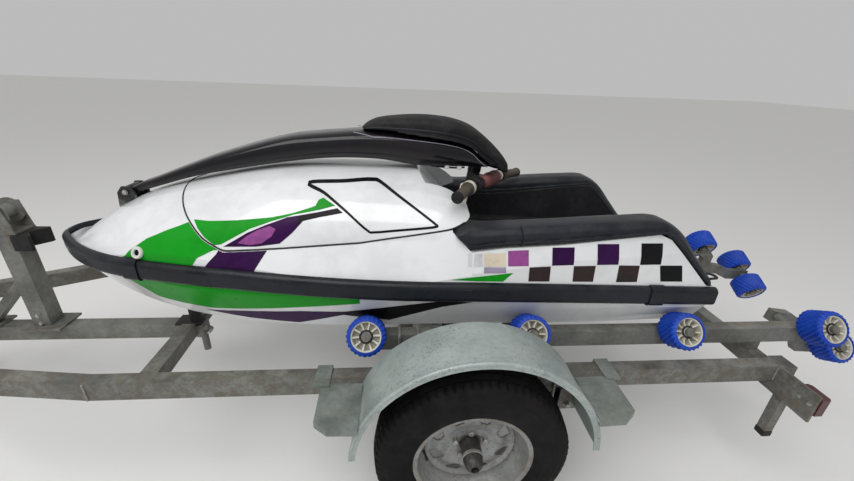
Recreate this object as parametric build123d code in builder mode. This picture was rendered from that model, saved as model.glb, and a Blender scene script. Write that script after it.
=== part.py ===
from build123d import *
import os
from math import atan2, cos, hypot, radians, sin, tan

os.makedirs("parts", exist_ok=True)

# A stand-up personal watercraft on its galvanised roller trailer, in millimetres.
# +X is forward (bow and coupling), +Y is port, +Z is up. The origin is on the ground,
# under the middle of the whole length.

# Where the craft lies on the trailer
craft_x = -214.0            # middle of the craft's length
datum_z = 480.0             # level above the ground from which the craft's heights are counted
seat = 0.4                  # gap between two pieces that rest on each other
joint_gap = 6.0             # least gap between pieces that move past each other


def at(x):
    """Place along the whole machine of a station counted from the craft's middle."""
    return craft_x + x


def up(z):
    """Height above the ground of a height counted from the craft's datum."""
    return datum_z + z


def side_solid(points, half_width, plane_y=0.0):
    """Prism whose outline is drawn in the side view, from craft stations."""
    with BuildPart() as prism:
        with BuildSketch(Plane.XZ.offset(-plane_y)):
            with BuildLine():
                Polyline([(at(x), up(z)) for x, z in points], close=True)
            make_face()
        extrude(amount=half_width, both=True)
    return prism.part


# Craft: hull, deck, hood

bond_line = [(-1160, 202.5), (400, 270), (1120, 277)]    # side view of the hull-to-deck joint
bumper_depth = 24.0         # how far the bumper stands out from the joint
bumper_height = 64.0
bumper_round = 18.0
stern_x = -1104.0           # stern face of hull and deck
bumper_end_x = -1112.0

# Outer edge of the bumper in plan: each point with the direction it faces,
# in degrees from port towards the bow
plan_outline = [
    (bumper_end_x, 344, -1.5), (-300, 365, -1), (250, 353, 6), (740, 262, 15.5),
    (925, 173, 35.4), (1030, 78, 46), (1058, 42, 66), (1066, 0, 90),
]


def plan_face(inset):
    """Plan outline of the craft, inset from the bumper's outer edge."""
    points = [(at(x) - inset * sin(radians(a)), y - inset * cos(radians(a)))
              for x, y, a in plan_outline]
    points[0] = (at(bumper_end_x), points[0][1])
    with BuildSketch(Plane.XY) as outline:
        with BuildLine():
            Line(points[0], points[1])
            ThreePointArc(*points[1:4])
            ThreePointArc(*points[3:6])
            ThreePointArc(*points[5:8])
            Polyline(points[7], (at(bumper_end_x), 0), points[0])
        make_face()
        mirror(about=Plane.XZ)
    return outline.sketch


with BuildPart() as plan_prism:
    add(plan_face(bumper_depth + seat))
    extrude(amount=up(900))

# Hull sections: station, keel height, chine half-width and height, joint half-width and height
hull_sections = [
    (stern_x, -30, 264, 69, 356, 232),
    (-800, -30, 268, 70, 365, 248),
    (-400, -30, 268, 70, 367, 266),
    (0, -30, 268, 70, 367, 284),
    (200, -27, 260, 70, 362, 291),
    (450, -18, 226, 72, 340, 298),
    (700, 20, 160, 90, 278, 300),
    (900, 98, 88, 140, 196, 302),
    (1036, 196, 34, 212, 92, 304),
]
engine_box = (430.0, 250.0, 290.0)          # length, width, height of the engine block
engine_x = 150.0
engine_z = 52.0                              # underside above the datum
bay_gap = 12.0                               # room round the engine block

pump_z = 96.0                                # jet pump axis above the datum
pump_r = 74.0                                # bore of the jet pump
pump_wall = 7.0
pump_front_x = -760.0
pump_back_x = -990.0
tunnel_half = 96.0
tunnel_top = 190.0
intake_front_x = -380.0
shaft_r = 12.0

with BuildPart() as hull:
    for x, keel, chine_y, chine_z, bond_y, bond_z in hull_sections:
        with BuildSketch(Plane.YZ.offset(at(x))):
            with BuildLine():
                half = [(bond_y, bond_z), (chine_y, chine_z)]
                left = [(-y, z) for y, z in reversed(half)]
                Polyline([(y, up(z)) for y, z in half + [(0, keel)] + left], close=True)
            make_face()
    loft()
    add(plan_prism.part, mode=Mode.INTERSECT)
    over_bond = bond_line + [(1120, 700), (-1160, 700)]
    add(side_solid(over_bond, 500), mode=Mode.SUBTRACT)
    tunnel = [
        (stern_x - 20, -60), (stern_x - 20, tunnel_top), (pump_front_x, tunnel_top),
        (pump_front_x + 60, tunnel_top - 20), (intake_front_x, -60),
    ]
    add(side_solid(tunnel, tunnel_half), mode=Mode.SUBTRACT)
    with Locations((at((engine_x + pump_front_x) / 2), 0, up(pump_z))):
        Cylinder(shaft_r + joint_gap, engine_x - pump_front_x, rotation=(0, 90, 0), mode=Mode.SUBTRACT)
    with Locations((at(engine_x), 0, up(engine_z - bay_gap))):
        Box(engine_box[0] + 2 * bay_gap, engine_box[1] + 2 * bay_gap, 400,
            align=(Align.CENTER, Align.CENTER, Align.MIN), mode=Mode.SUBTRACT)
hull.part.label = "hull"
export_step(hull.part, "parts/hull.step")

# Deck and hood share one form, so that the hood closes flush.
# Station, half-width and height low down, at the seam, at the shoulder, and crown height
front_sections = [
    (1036, 92, 240, 60, 284, 34, 290, 292),
    (930, 172, 240, 138, 300, 86, 330, 342),
    (800, 244, 236, 205, 326, 128, 396, 420),
    (600, 312, 234, 262, 352, 158, 450, 487),
    (400, 350, 232, 288, 358, 178, 486, 529),
    (130, 366, 226, 291, 372, 190, 512, 551),
    (-90, 368, 220, 293, 386, 196, 510, 548),
    (-300, 366, 212, 300, 420, 214, 448, 470),
]
rear_sections = [(-299, 366, 212, 300, 440), (-600, 366, 200, 308, 440), (stern_x, 352, 170, 310, 440)]

# Side view of the seam between deck and hood, from the rear tip to the front
seam_line = [
    (-304, 446), (-236, 421), (33, 377), (253, 361), (425, 350),
    (485, 380), (545, 430), (606, 484), (640, 540),
]
seam_gap = 2.5
hood_top = 720.0

# Lower and upper edge of the side bolsters in side view
bolster_under = [(-240, 415), (-296, 361), (-395, 374), (-561, 384), (-876, 417), (-913, 402), (-1080, 240)]
bolster_over = [(-1110, 244), (-948, 425), (-905, 452), (-869, 459), (-765, 454), (-509, 439), (-349, 432), (-284, 434)]
bolster_in = 206.0
bolster_out = 329.0

tray_half = 200.0
tray_front = [(-90, 620), (-150, 540), (-240, 440), (-336, 277)]
tray_back_z = 234.0
tray_stern = -1170.0
tray_line = tray_front + [(tray_stern, tray_back_z), (tray_stern, 700)]


def tray_floor(x):
    """Height of the tray's floor at a station."""
    front_x, front_z = tray_front[3]
    return front_z + (x - front_x) * (front_z - tray_back_z) / (front_x - tray_stern)


def side_bulge(seam_y, seam_z, top_y, top_z, crown):
    """Middle of the arc from seam to shoulder that runs smoothly into the crown's arc."""
    chord = hypot(seam_y - top_y, top_z - seam_z)
    steep = atan2(top_z - seam_z, seam_y - top_y)
    sag = chord / 2 * tan((steep - 2 * atan2(crown - top_z, top_y)) / 2)
    return ((seam_y + top_y) / 2 + sag * sin(steep), (seam_z + top_z) / 2 + sag * cos(steep))


def front_form():
    """Closed form of the foredeck with the hood on it."""
    with BuildPart() as form:
        for x, low_y, low_z, seam_y, seam_z, top_y, top_z, crown in front_sections:
            bulge_y, bulge_z = side_bulge(seam_y, seam_z, top_y, top_z, crown)
            with BuildSketch(Plane.YZ.offset(at(x))):
                with BuildLine():
                    Line((-low_y, up(low_z)), (low_y, up(low_z)))
                    Line((low_y, up(low_z)), (seam_y, up(seam_z)))
                    ThreePointArc((seam_y, up(seam_z)), (bulge_y, up(bulge_z)), (top_y, up(top_z)))
                    ThreePointArc((top_y, up(top_z)), (0, up(crown)), (-top_y, up(top_z)))
                    ThreePointArc((-top_y, up(top_z)), (-bulge_y, up(bulge_z)), (-seam_y, up(seam_z)))
                    Line((-seam_y, up(seam_z)), (-low_y, up(low_z)))
                make_face()
        loft()
        add(plan_prism.part, mode=Mode.INTERSECT)
        add(side_solid(tray_line, 150), mode=Mode.SUBTRACT)
    return form.part


bond_top = [(x, z + 0.5) for x, z in bond_line]
under_bond = bond_top + [(1120, -50), (-1160, -50)]
seam_top = [(700, hood_top), (-304, hood_top)]
over_seam = seam_line + seam_top

with BuildPart() as aft:
    for x, low_y, low_z, top_y, top_z in rear_sections:
        with BuildSketch(Plane.YZ.offset(at(x))):
            with BuildLine():
                Polyline([(low_y, up(low_z)), (top_y, up(top_z)),
                          (-top_y, up(top_z)), (-low_y, up(low_z))], close=True)
            make_face()
    loft(ruled=True)
    add(plan_prism.part, mode=Mode.INTERSECT)

with BuildPart() as deck:
    add(front_form())
    add(side_solid([(x, z - seam_gap) for x, z in seam_line] + seam_top, 500), mode=Mode.SUBTRACT)
    add(aft.part)
    add(side_solid([(x, z - seat) for x, z in bolster_under]
                   + [(stern_x - 40, 240 - seat), (stern_x - 40, 700), (-240, 700)], 500),
        mode=Mode.SUBTRACT)
    add(side_solid(tray_line, tray_half), mode=Mode.SUBTRACT)
    add(side_solid(under_bond, 500), mode=Mode.SUBTRACT)
    with Locations((at(engine_x), 0, up(engine_z - bay_gap))):
        Box(engine_box[0] + 2 * bay_gap, engine_box[1] + 2 * bay_gap, 400,
            align=(Align.CENTER, Align.CENTER, Align.MIN), mode=Mode.SUBTRACT)
deck.part.label = "deck"
export_step(deck.part, "parts/deck.step")

with BuildPart() as hood:
    add(front_form())
    add(side_solid(over_seam, 500), mode=Mode.INTERSECT)
    with Locations((at(engine_x), 0, up(engine_z - bay_gap))):
        Box(engine_box[0] + 2 * bay_gap, engine_box[1] + 2 * bay_gap, 400,
            align=(Align.CENTER, Align.CENTER, Align.MIN), mode=Mode.SUBTRACT)
hood.part.label = "hood"
export_step(hood.part, "parts/hood.step")

with BuildPart() as engine:
    with Locations((at(engine_x), 0, up(engine_z - bay_gap + seat))):
        Box(*engine_box, align=(Align.CENTER, Align.CENTER, Align.MIN))
engine.part.label = "engine"
export_step(engine.part, "parts/engine.step")


# Bumper: a band of the plan outline that follows the joint line, with joining collars
collar_stations = [-903, 712]               # middle of each collar
collar_len = 50.0
collar_proud = 3.5


def bumper_band(inset, height, rounding):
    """Band that stands out from the joint, rounded along its outer edges."""
    with BuildPart() as core:
        add(plan_face(bumper_depth / 2))
        extrude(amount=up(600))
    with BuildPart() as band:
        with BuildSketch(Plane.XY):
            add(plan_face(inset))
        extrude(amount=up(600))
        with BuildSketch(Plane.XY):
            add(plan_face(bumper_depth))
        extrude(amount=up(600), mode=Mode.SUBTRACT)
        low = [(x, z - height / 2) for x, z in bond_line]
        high = [(x, z + height / 2) for x, z in reversed(bond_line)]
        add(side_solid(low + high, 500), mode=Mode.INTERSECT)
        rims = [e for e in band.edges()
                if abs((e % 0.5).Z) < 0.2 and not core.part.is_inside(e @ 0.5)
                and abs((e @ 0.5).X - at(bumper_end_x)) > 5]
        fillet(rims, radius=rounding)
    return band.part


with BuildPart() as collars:
    add(bumper_band(0, bumper_height + 2 * collar_proud, bumper_round))
    with BuildSketch(Plane.XY):
        with Locations([(at(x), 0) for x in collar_stations]):
            Rectangle(collar_len, 1000)
    extrude(amount=up(600), mode=Mode.INTERSECT)

with BuildPart() as bumper:
    add(bumper_band(collar_proud, bumper_height, bumper_round))
    add(collars.part)
bumper.part.label = "bumper"
export_step(bumper.part, "parts/bumper.step")

# Side bolsters: padded caps on the gunwales, curved down to the stern
bolster_round = 24.0


def long_edges(part, line):
    """Edges that run along a side-view line, on either flank of a part."""
    middles = [(at((a[0] + b[0]) / 2), up((a[1] + b[1]) / 2)) for a, b in zip(line, line[1:])]
    return [e for e in part.edges()
            if any(hypot((e @ 0.5).X - x, (e @ 0.5).Z - z) < 1 for x, z in middles)
            and abs((e % 0.5).Y) < 0.1]


for side, name in ((1, "bolster_left"), (-1, "bolster_right")):
    with BuildPart() as bolster:
        middle = side * (bolster_in + bolster_out) / 2
        add(side_solid(bolster_under + bolster_over, (bolster_out - bolster_in) / 2, middle))
        fillet(long_edges(bolster, bolster_over[1:]), radius=bolster_round)
    bolster.part.label = name
    export_step(bolster.part, "parts/" + name + ".step")

# Mat that lines the tray: floor and side walls up to the bolsters
mat_t = 9.0
mat_rise = 12.0                             # how far the side walls stand above the bolsters' underside
with BuildPart() as tray_mat:
    floor_ends = [tray_front[3][0] - seat, stern_x + 6]
    floor = [(x, tray_floor(x) + seat) for x in floor_ends]
    wall_top = [(x, z + mat_rise) for x, z in reversed(bolster_under[1:6])]
    add(side_solid(floor + [(floor_ends[1], floor[1][1] + 40)] + wall_top, tray_half - seat))
    over_floor = [(x, z + mat_t) for x, z in floor]
    over_floor[0] = (over_floor[0][0] + 60, over_floor[0][1])
    over_floor[1] = (over_floor[1][0] - 60, over_floor[1][1])
    add(side_solid(over_floor + [(x, z + 300) for x, z in reversed(over_floor)], tray_half - seat - mat_t),
        mode=Mode.SUBTRACT)
tray_mat.part.label = "tray_mat"
export_step(tray_mat.part, "parts/tray_mat.step")

# Handle pole: a curved arm over the hood, hinged at the bow
pivot_x, pivot_z = 812.0, 446.0
barrel_r = 17.0
pivot_pin_r = 8.0
pin_gap = 0.3
# Sections along the pole: station, half-width, under and top height
pole_sections = [
    (800, 31, 436, 461), (762, 31, 448, 477), (725, 42, 458, 491), (600, 60, 497, 538),
    (495, 68, 520, 578), (291, 78, 555, 639), (138, 80, 573, 658), (-14, 80, 571, 668),
    (-149, 78, 551, 659), (-268, 74, 550, 643), (-321, 72, 552, 623), (-356, 68, 552, 590),
    (-392, 66, 552, 566),
]
pole_corner = 13.0
pole_wall = 13.0
channel_deep = 20.0                        # thickness left above the hollow underside
channel_front, channel_back = 3, 8         # rows of the sections it runs between
steer_x, steer_z = -352.0, 552.0           # where the steering stem meets the pole
steer_tilt = 8.0
steer_drop = 46.0                          # from the pole's underside to the bar
stem_r = 13.0
stem_boss_r = 22.0
stem_boss_h = 26.0
steer_turn = -33.0                         # bar as parked, port grip forward
bar_back = 52.0                            # bar behind the stem

steer_up = (-sin(radians(steer_tilt)), 0, cos(radians(steer_tilt)))
steer_ahead = (cos(radians(steer_tilt)), 0, sin(radians(steer_tilt)))
turn = radians(steer_turn)
steer_foot = (at(steer_x) - steer_up[0] * steer_drop, 0, up(steer_z) - steer_up[2] * steer_drop)
steer = Plane(
    origin=steer_foot,
    x_dir=(steer_ahead[0] * cos(turn), sin(turn), steer_ahead[2] * cos(turn)),
    z_dir=steer_up,
)


def arm_solid(sections, corner):
    """Ruled solid through sections, with cut upper corners."""
    with BuildPart() as arm:
        for x, half, under, top in sections:
            cut = min(corner, 0.4 * (top - under))
            edge = [(half, under), (half, top - cut), (half - cut, top)]
            with BuildSketch(Plane.YZ.offset(at(x))):
                with BuildLine():
                    Polyline([(y, up(z)) for y, z in edge]
                             + [(-y, up(z)) for y, z in reversed(edge)], close=True)
                make_face()
        loft(ruled=True)
    return arm.part


with BuildPart() as handle_pole:
    add(arm_solid(pole_sections, pole_corner))
    channel = [(x, half - pole_wall, under - 30, top - channel_deep)
               for x, half, under, top in pole_sections[channel_front:channel_back + 1]]
    add(arm_solid(channel, pole_corner), mode=Mode.SUBTRACT)
    with Locations((at(pivot_x), 0, up(pivot_z))):
        Cylinder(barrel_r, 2 * pole_sections[0][1], rotation=(90, 0, 0))
        Cylinder(pivot_pin_r + pin_gap, 200, rotation=(90, 0, 0), mode=Mode.SUBTRACT)
    with Locations(steer.location * Pos(0, 0, steer_drop - stem_boss_h)):
        Cylinder(stem_boss_r, stem_boss_h + 8, align=(Align.CENTER, Align.CENTER, Align.MIN))
        Cylinder(stem_r + pin_gap, stem_boss_h + 2, align=(Align.CENTER, Align.CENTER, Align.MIN),
                 mode=Mode.SUBTRACT)
handle_pole.part.label = "handle_pole"
export_step(handle_pole.part, "parts/handle_pole.step")

# Bracket that carries the pole: two cheeks and a pin on the foredeck
cheek_t = 7.0
cheek_in = pole_sections[0][1] + 2
cheek_side = [(782, 380), (786, 446), (800, 464), (824, 464), (840, 444), (850, 350)]
with BuildPart() as pole_bracket:
    add(side_solid(cheek_side, cheek_in + cheek_t))
    add(side_solid([(700, 424), (700, 600), (900, 600), (900, 424)], cheek_in), mode=Mode.SUBTRACT)
    add(deck.part.moved(Location((0, 0, seat))), mode=Mode.SUBTRACT)
    with Locations((at(pivot_x), 0, up(pivot_z))):
        Cylinder(pivot_pin_r, 2 * (cheek_in + cheek_t) + 8, rotation=(90, 0, 0))
pole_bracket.part.label = "pole_bracket"
export_step(pole_bracket.part, "parts/pole_bracket.step")

# Chin pad on the pole's rear end; it lies on the pole's top and wraps over its tip
pad_front = [(33, 56, 665 + seat, 674)]
pad_tops = [(-14, 78, 697), (-149, 92, 710), (-268, 90, 700), (-321, 86, 683), (-356, 82, 660), (-392, 78, 634)]
pad_tail = [(-440, 72, 536, 585), (-460, 66, 534, 560)]
pad_corner = 20.0
pole_tops = {x: top for x, half, under, top in pole_sections}
with BuildPart() as pole_pad:
    add(arm_solid(pad_front + [(x, half, pole_tops[x] + seat, top) for x, half, top in pad_tops]
                  + pad_tail, pad_corner))
pole_pad.part.label = "pole_pad"
export_step(pole_pad.part, "parts/pole_pad.step")

# Handlebar in the steering plane: x ahead, y to port
bar_r = 11.0
bar_half = 300.0
bar_sweep = 24.0                            # how far the ends sweep back
grip_r = 16.0
grip_len = 125.0
bar_bend = 150.0
bar_path = [(-bar_back - bar_sweep, bar_half), (-bar_back, bar_bend),
            (-bar_back, -bar_bend), (-bar_back - bar_sweep, -bar_half)]


def bar_tube(start, end, outer, inner=0.0):
    """Straight tube between two points of the steering plane."""
    first = steer.from_local_coords(Vector(*start, 0))
    run = steer.from_local_coords(Vector(*end, 0)) - first
    with BuildPart() as tube:
        with BuildSketch(Plane(origin=first, z_dir=run)):
            Circle(outer)
            if inner:
                Circle(inner, mode=Mode.SUBTRACT)
        extrude(amount=run.length)
    return tube.part


def along(a, b, distance):
    """Point of the steering plane at a distance from a towards b."""
    length = hypot(b[0] - a[0], b[1] - a[1])
    return (a[0] + (b[0] - a[0]) * distance / length, a[1] + (b[1] - a[1]) * distance / length)


with BuildPart() as handlebar:
    for start, end in zip(bar_path, bar_path[1:]):
        add(bar_tube(start, end, bar_r))
    for point in bar_path[1:3]:
        with Locations(steer.location * Pos(*point, 0)):
            Sphere(bar_r)
    with Locations(steer.location * Pos(-bar_back / 2, 0, 0)):
        Box(bar_back + 30, 44, 2 * bar_r + 6)
    with Locations(steer.location):
        Cylinder(stem_r, steer_drop - 3, align=(Align.CENTER, Align.CENTER, Align.MIN))
        Cylinder(stem_boss_r, steer_drop - stem_boss_h - 1, align=(Align.CENTER, Align.CENTER, Align.MIN))
handlebar.part.label = "handlebar"
export_step(handlebar.part, "parts/handlebar.step")

with BuildPart() as hand_grips:
    for tip, bend in ((bar_path[0], bar_path[1]), (bar_path[3], bar_path[2])):
        past = along(tip, bend, -6)
        root = along(tip, bend, grip_len)
        add(bar_tube(past, root, grip_r))
        add(bar_tube(past, along(tip, bend, 2), grip_r + 3))
        add(bar_tube(tip, root, bar_r + pin_gap), mode=Mode.SUBTRACT)
hand_grips.part.label = "hand_grips"
export_step(hand_grips.part, "parts/hand_grips.step")

# Switch block to starboard, throttle clamp and lever to port
with BuildPart() as bar_controls:
    for tip, bend, start, length in ((bar_path[0], bar_path[1], grip_len + 4, 20), (bar_path[2], bar_path[1], 4, 58)):
        add(bar_tube(along(tip, bend, start), along(tip, bend, start + length), bar_r + 9, bar_r + pin_gap))
    with Locations(steer.location * Pos(-bar_back + 26, -bar_bend + 33, -4)):
        Box(26, 54, 34)
    lever_root = along(bar_path[0], bar_path[1], grip_len + 14)
    with Locations(steer.location * Pos(lever_root[0] + 26, lever_root[1], -3)):
        Box(24, 16, 14)
    with Locations(steer.location * Pos(lever_root[0] + 38, lever_root[1] + 36, -3)):
        Box(8, 86, 12)
bar_controls.part.label = "bar_controls"
export_step(bar_controls.part, "parts/bar_controls.step")

# Jet pump: housing with stator, impeller and shaft, steering nozzle
nozzle_x = -1022.0                          # upright pivot of the steering nozzle
outlet_r = 48.0
outlet_wall = 6.0
nozzle_r = 68.0
nozzle_exit_r = 46.0
nozzle_wall = 5.0
nozzle_len = 108.0
nozzle_ratio = -0.5                         # nozzle turn for each degree of the bar
ear_t = 6.0
ear_half = 14.0
impeller_r = pump_r - 5
impeller_hub = 25.0
impeller_len = 64.0
impeller_x = -845.0
blades = 3
vanes = 5
flange_x = -772.0
flange_t = 14.0
flange_h = 200.0
pump_axis = Axis((at(0), 0, up(pump_z)), (1, 0, 0))


def pump_ring(points):
    """Solid of revolution about the pump's axis from stations and radii."""
    with BuildPart() as ring:
        with BuildSketch(Plane.XZ):
            with BuildLine():
                Polyline([(at(x), up(pump_z) + r) for x, r in points], close=True)
            make_face()
        revolve(axis=pump_axis)
    return ring.part


with BuildPart() as pump_housing:
    neck_x = pump_back_x + 46
    add(pump_ring([(pump_front_x, pump_r), (pump_back_x + 70, pump_r), (neck_x, outlet_r),
                   (nozzle_x - 12, outlet_r), (nozzle_x - 12, outlet_r + outlet_wall),
                   (neck_x - 4, outlet_r + outlet_wall), (pump_back_x + 67, pump_r + pump_wall),
                   (pump_front_x, pump_r + pump_wall)]))
    with Locations((at(flange_x), 0, up(tunnel_top - seat))):
        Box(flange_t, 2 * (tunnel_half - seat), flange_h, align=(Align.CENTER, Align.CENTER, Align.MAX))
    with Locations((at(flange_x), 0, up(pump_z))):
        Cylinder(pump_r, 60, rotation=(0, 90, 0), mode=Mode.SUBTRACT)
    stator_x = impeller_x - impeller_len / 2 - 30
    with Locations((at(stator_x), 0, up(pump_z))):
        Cylinder(impeller_hub, 34, rotation=(0, 90, 0))
        for k in range(vanes):
            with Locations(Location((0, 0, 0), (360 * k / vanes + 18, 0, 0)) * Pos(0, 0, (pump_r + impeller_hub) / 2)):
                Box(30, 4, pump_r - impeller_hub + 6)
    for sign in (1, -1):
        ear_z = up(pump_z) + sign * (nozzle_r + nozzle_wall + joint_gap + 2)
        with Locations(((at(nozzle_x) + at(pump_back_x + 70)) / 2 - 4, 0, ear_z)):
            Box(abs(nozzle_x - pump_back_x - 70) + ear_half + 8, 2 * ear_half, ear_t)
        with Locations((at(pump_back_x + 62), 0, (ear_z + up(pump_z)) / 2 + sign * 26)):
            Box(20, 2 * ear_half, abs(ear_z - up(pump_z)) - 56)
        with Locations((at(nozzle_x), 0, ear_z - sign * (ear_t / 2 + 5))):
            Cylinder(5, ear_t + 12)
pump_housing.part.label = "pump_housing"
export_step(pump_housing.part, "parts/pump_housing.step")

with BuildPart() as impeller:
    with Locations((at(impeller_x), 0, up(pump_z))):
        Cylinder(impeller_hub, impeller_len, rotation=(0, 90, 0))
        for k in range(blades):
            with Locations(Location((0, 0, 0), (360 * k / blades, 0, 0)) * Location((0, 0, 45), (0, 0, 38))):
                Box(70, 4, 2 * (impeller_r - 45) + 2)
    add(pump_ring([(impeller_x - 60, impeller_hub - 4), (impeller_x + 60, impeller_hub - 4),
                   (impeller_x + 60, impeller_r), (impeller_x - 60, impeller_r)]), mode=Mode.INTERSECT)
    shaft_front = engine_x - engine_box[0] / 2 - bay_gap - 2
    with Locations((at((shaft_front + impeller_x) / 2), 0, up(pump_z))):
        Cylinder(shaft_r, shaft_front - impeller_x, rotation=(0, 90, 0))
    with Locations((at(impeller_x), 0, up(pump_z))):
        Cylinder(impeller_hub - 3, impeller_len, rotation=(0, 90, 0))
impeller.part.label = "impeller"
export_step(impeller.part, "parts/impeller.step")

nozzle_turn = radians(steer_turn * nozzle_ratio)
nozzle_dir = (cos(nozzle_turn), sin(nozzle_turn), 0)
nozzle_origin = (at(nozzle_x), 0, up(pump_z))
nozzle_plane = Plane(origin=nozzle_origin, x_dir=nozzle_dir, z_dir=(sin(nozzle_turn), -cos(nozzle_turn), 0))
with BuildPart() as steering_nozzle:
    with BuildSketch(nozzle_plane):
        with BuildLine():
            Polyline([(8, nozzle_r), (-14, nozzle_r), (-nozzle_len, nozzle_exit_r),
                      (-nozzle_len, nozzle_exit_r + nozzle_wall), (-14, nozzle_r + nozzle_wall),
                      (8, nozzle_r + nozzle_wall)], close=True)
        make_face()
    revolve(axis=Axis(nozzle_origin, nozzle_dir))
    for sign in (1, -1):
        with Locations((at(nozzle_x), 0, up(pump_z) + sign * (nozzle_r + nozzle_wall - 2))):
            Cylinder(11, 10)
            Cylinder(5 + pin_gap, 20, mode=Mode.SUBTRACT)
steering_nozzle.part.label = "steering_nozzle"
export_step(steering_nozzle.part, "parts/steering_nozzle.step")

# Ride plate under the pump and grate over the water intake
plate_half = tunnel_half - seat
plate_z = -30.0
plate_t = 6.0
grate_bars = 5
grate_front = intake_front_x - 75
plate_front = -680.0
plate_back = -985.0
with BuildPart() as ride_plate:
    with BuildSketch(Plane.XY.offset(up(plate_z))):
        with BuildLine():
            Polyline([(at(plate_front - 1), plate_half), (at(plate_front - 1), -plate_half),
                      (at(plate_back), -plate_half), (at(plate_back - 40), -plate_half + 60),
                      (at(plate_back - 40), plate_half - 60), (at(plate_back), plate_half)], close=True)
        make_face()
    extrude(amount=plate_t)
    for x in (-760, -860, -960):
        with Locations((at(x), 0, up(plate_z + plate_t))):
            Box(12, 2 * plate_half, 10, align=(Align.CENTER, Align.CENTER, Align.MIN))
ride_plate.part.label = "ride_plate"
export_step(ride_plate.part, "parts/ride_plate.step")

with BuildPart() as intake_grate:
    for x in (grate_front, plate_front + 8):
        with Locations((at(x), 0, up(plate_z))):
            Box(14, 2 * plate_half, 12, align=(Align.CENTER, Align.CENTER, Align.MIN))
    span = grate_front - plate_front
    for k in range(grate_bars):
        y = (k - (grate_bars - 1) / 2) * 2 * plate_half / grate_bars
        with Locations((at((grate_front + plate_front) / 2 + 4), y, up(plate_z))):
            Box(span - 4, 8, 16, align=(Align.CENTER, Align.CENTER, Align.MIN))
intake_grate.part.label = "intake_grate"
export_step(intake_grate.part, "parts/intake_grate.step")

# Drain rings low on the bow, one on each side
ring_x, ring_y, ring_z = 682.0, 246.0, 326.0
ring_r = 17.0
ring_hole_r = 10.0
ring_lean = 23.0                            # lean of the deck's flank from upright
ring_yaw = 15.5
with BuildPart() as drain_rings:
    for side in (1, -1):
        flank = (sin(radians(ring_yaw)) * cos(radians(ring_lean)),
                 side * cos(radians(ring_yaw)) * cos(radians(ring_lean)), sin(radians(ring_lean)))
        with BuildSketch(Plane(origin=(at(ring_x), side * ring_y, up(ring_z)), z_dir=flank)):
            Circle(ring_r)
            Circle(ring_hole_r, mode=Mode.SUBTRACT)
        extrude(amount=8)
    add(deck.part.moved(Location((0, 0, seat))), mode=Mode.SUBTRACT)
drain_rings.part.label = "drain_rings"
export_step(drain_rings.part, "parts/drain_rings.step")

# Loop on the stern for lifting, and its base plate
loop_y, loop_z = 120.0, 222.0
with BuildPart() as stern_loop:
    with Locations((at(stern_x) - seat, 0, up(loop_z) - 24)):
        Box(4, 2 * loop_y + 30, 26, align=(Align.MAX, Align.CENTER, Align.CENTER))
    for side in (1, -1):
        with Locations((at(stern_x) - 3, side * loop_y, up(loop_z) - 24)):
            Box(34, 12, 14, align=(Align.MAX, Align.CENTER, Align.CENTER))
    with Locations((at(stern_x) - 26, 0, up(loop_z) - 24)):
        Box(12, 2 * loop_y + 12, 14, align=(Align.MAX, Align.CENTER, Align.CENTER))
stern_loop.part.label = "stern_loop"
export_step(stern_loop.part, "parts/stern_loop.step")

# Trailer frame
rail_w, rail_h, rail_top = 42.0, 62.0, 478.0
rail_path = [(-1549.6, 410), (600, 410), (930, 373), (1500, 60)]
spine_w, spine_h, spine_top = 50.0, 60.0, 384.0
spine_front = 1860.0
spine_back = 500.0
packer_h = rail_top - rail_h - spine_top - 2 * seat
cross_x, cross_drop = 443.0, 79.0            # front cross-member at the rails, and how far forward its middle is


def ribbon(points, width):
    """Corner points of a strip of constant width along a plan line."""
    steps = [(b[0] - a[0], b[1] - a[1]) for a, b in zip(points, points[1:])]
    units = [(dx / hypot(dx, dy), dy / hypot(dx, dy)) for dx, dy in steps]
    left, right = [], []
    for i, (x, y) in enumerate(points):
        (ax, ay), (bx, by) = units[max(i - 1, 0)], units[min(i, len(units) - 1)]
        scale = width / 2 / (1 + ax * bx + ay * by)
        nx, ny = -(ay + by) * scale, (ax + bx) * scale
        left.append((x + nx, y + ny))
        right.append((x - nx, y - ny))
    return left + right[::-1]


with BuildPart() as side_rails:
    for side in (1, -1):
        with BuildSketch(Plane.XY.offset(rail_top - rail_h)):
            with BuildLine():
                Polyline(ribbon([(x, side * y) for x, y in rail_path], rail_w), close=True)
            make_face()
        extrude(amount=rail_h)
    with BuildSketch(Plane.XY.offset(rail_top - rail_h)):
        with Locations((rail_path[3][0] - 20, 0)):
            Rectangle(60, 2 * (rail_path[3][1] - 10))
    extrude(amount=8)
side_rails.part.label = "side_rails"
export_step(side_rails.part, "parts/side_rails.step")

with BuildPart() as drawbar:
    with Locations(((spine_front + spine_back) / 2, 0, spine_top)):
        Box(spine_front - spine_back, spine_w, spine_h, align=(Align.CENTER, Align.CENTER, Align.MAX))
    for side in (1, -1):
        inner_y = rail_path[0][1] - rail_w / 2 - seat
        with BuildSketch(Plane.XZ.offset(-side * inner_y)):
            with Locations((cross_x, rail_top - 25)):
                Rectangle(50, 50)
        with BuildSketch(Plane.XZ):
            with Locations((cross_x + cross_drop, spine_top - 25)):
                Rectangle(50, 50)
        loft(ruled=True)
    with Locations((rail_path[3][0] - 40, 0, spine_top)):
        Box(120, 160, packer_h, align=(Align.CENTER, Align.CENTER, Align.MIN))
drawbar.part.label = "drawbar"
export_step(drawbar.part, "parts/drawbar.step")

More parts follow.
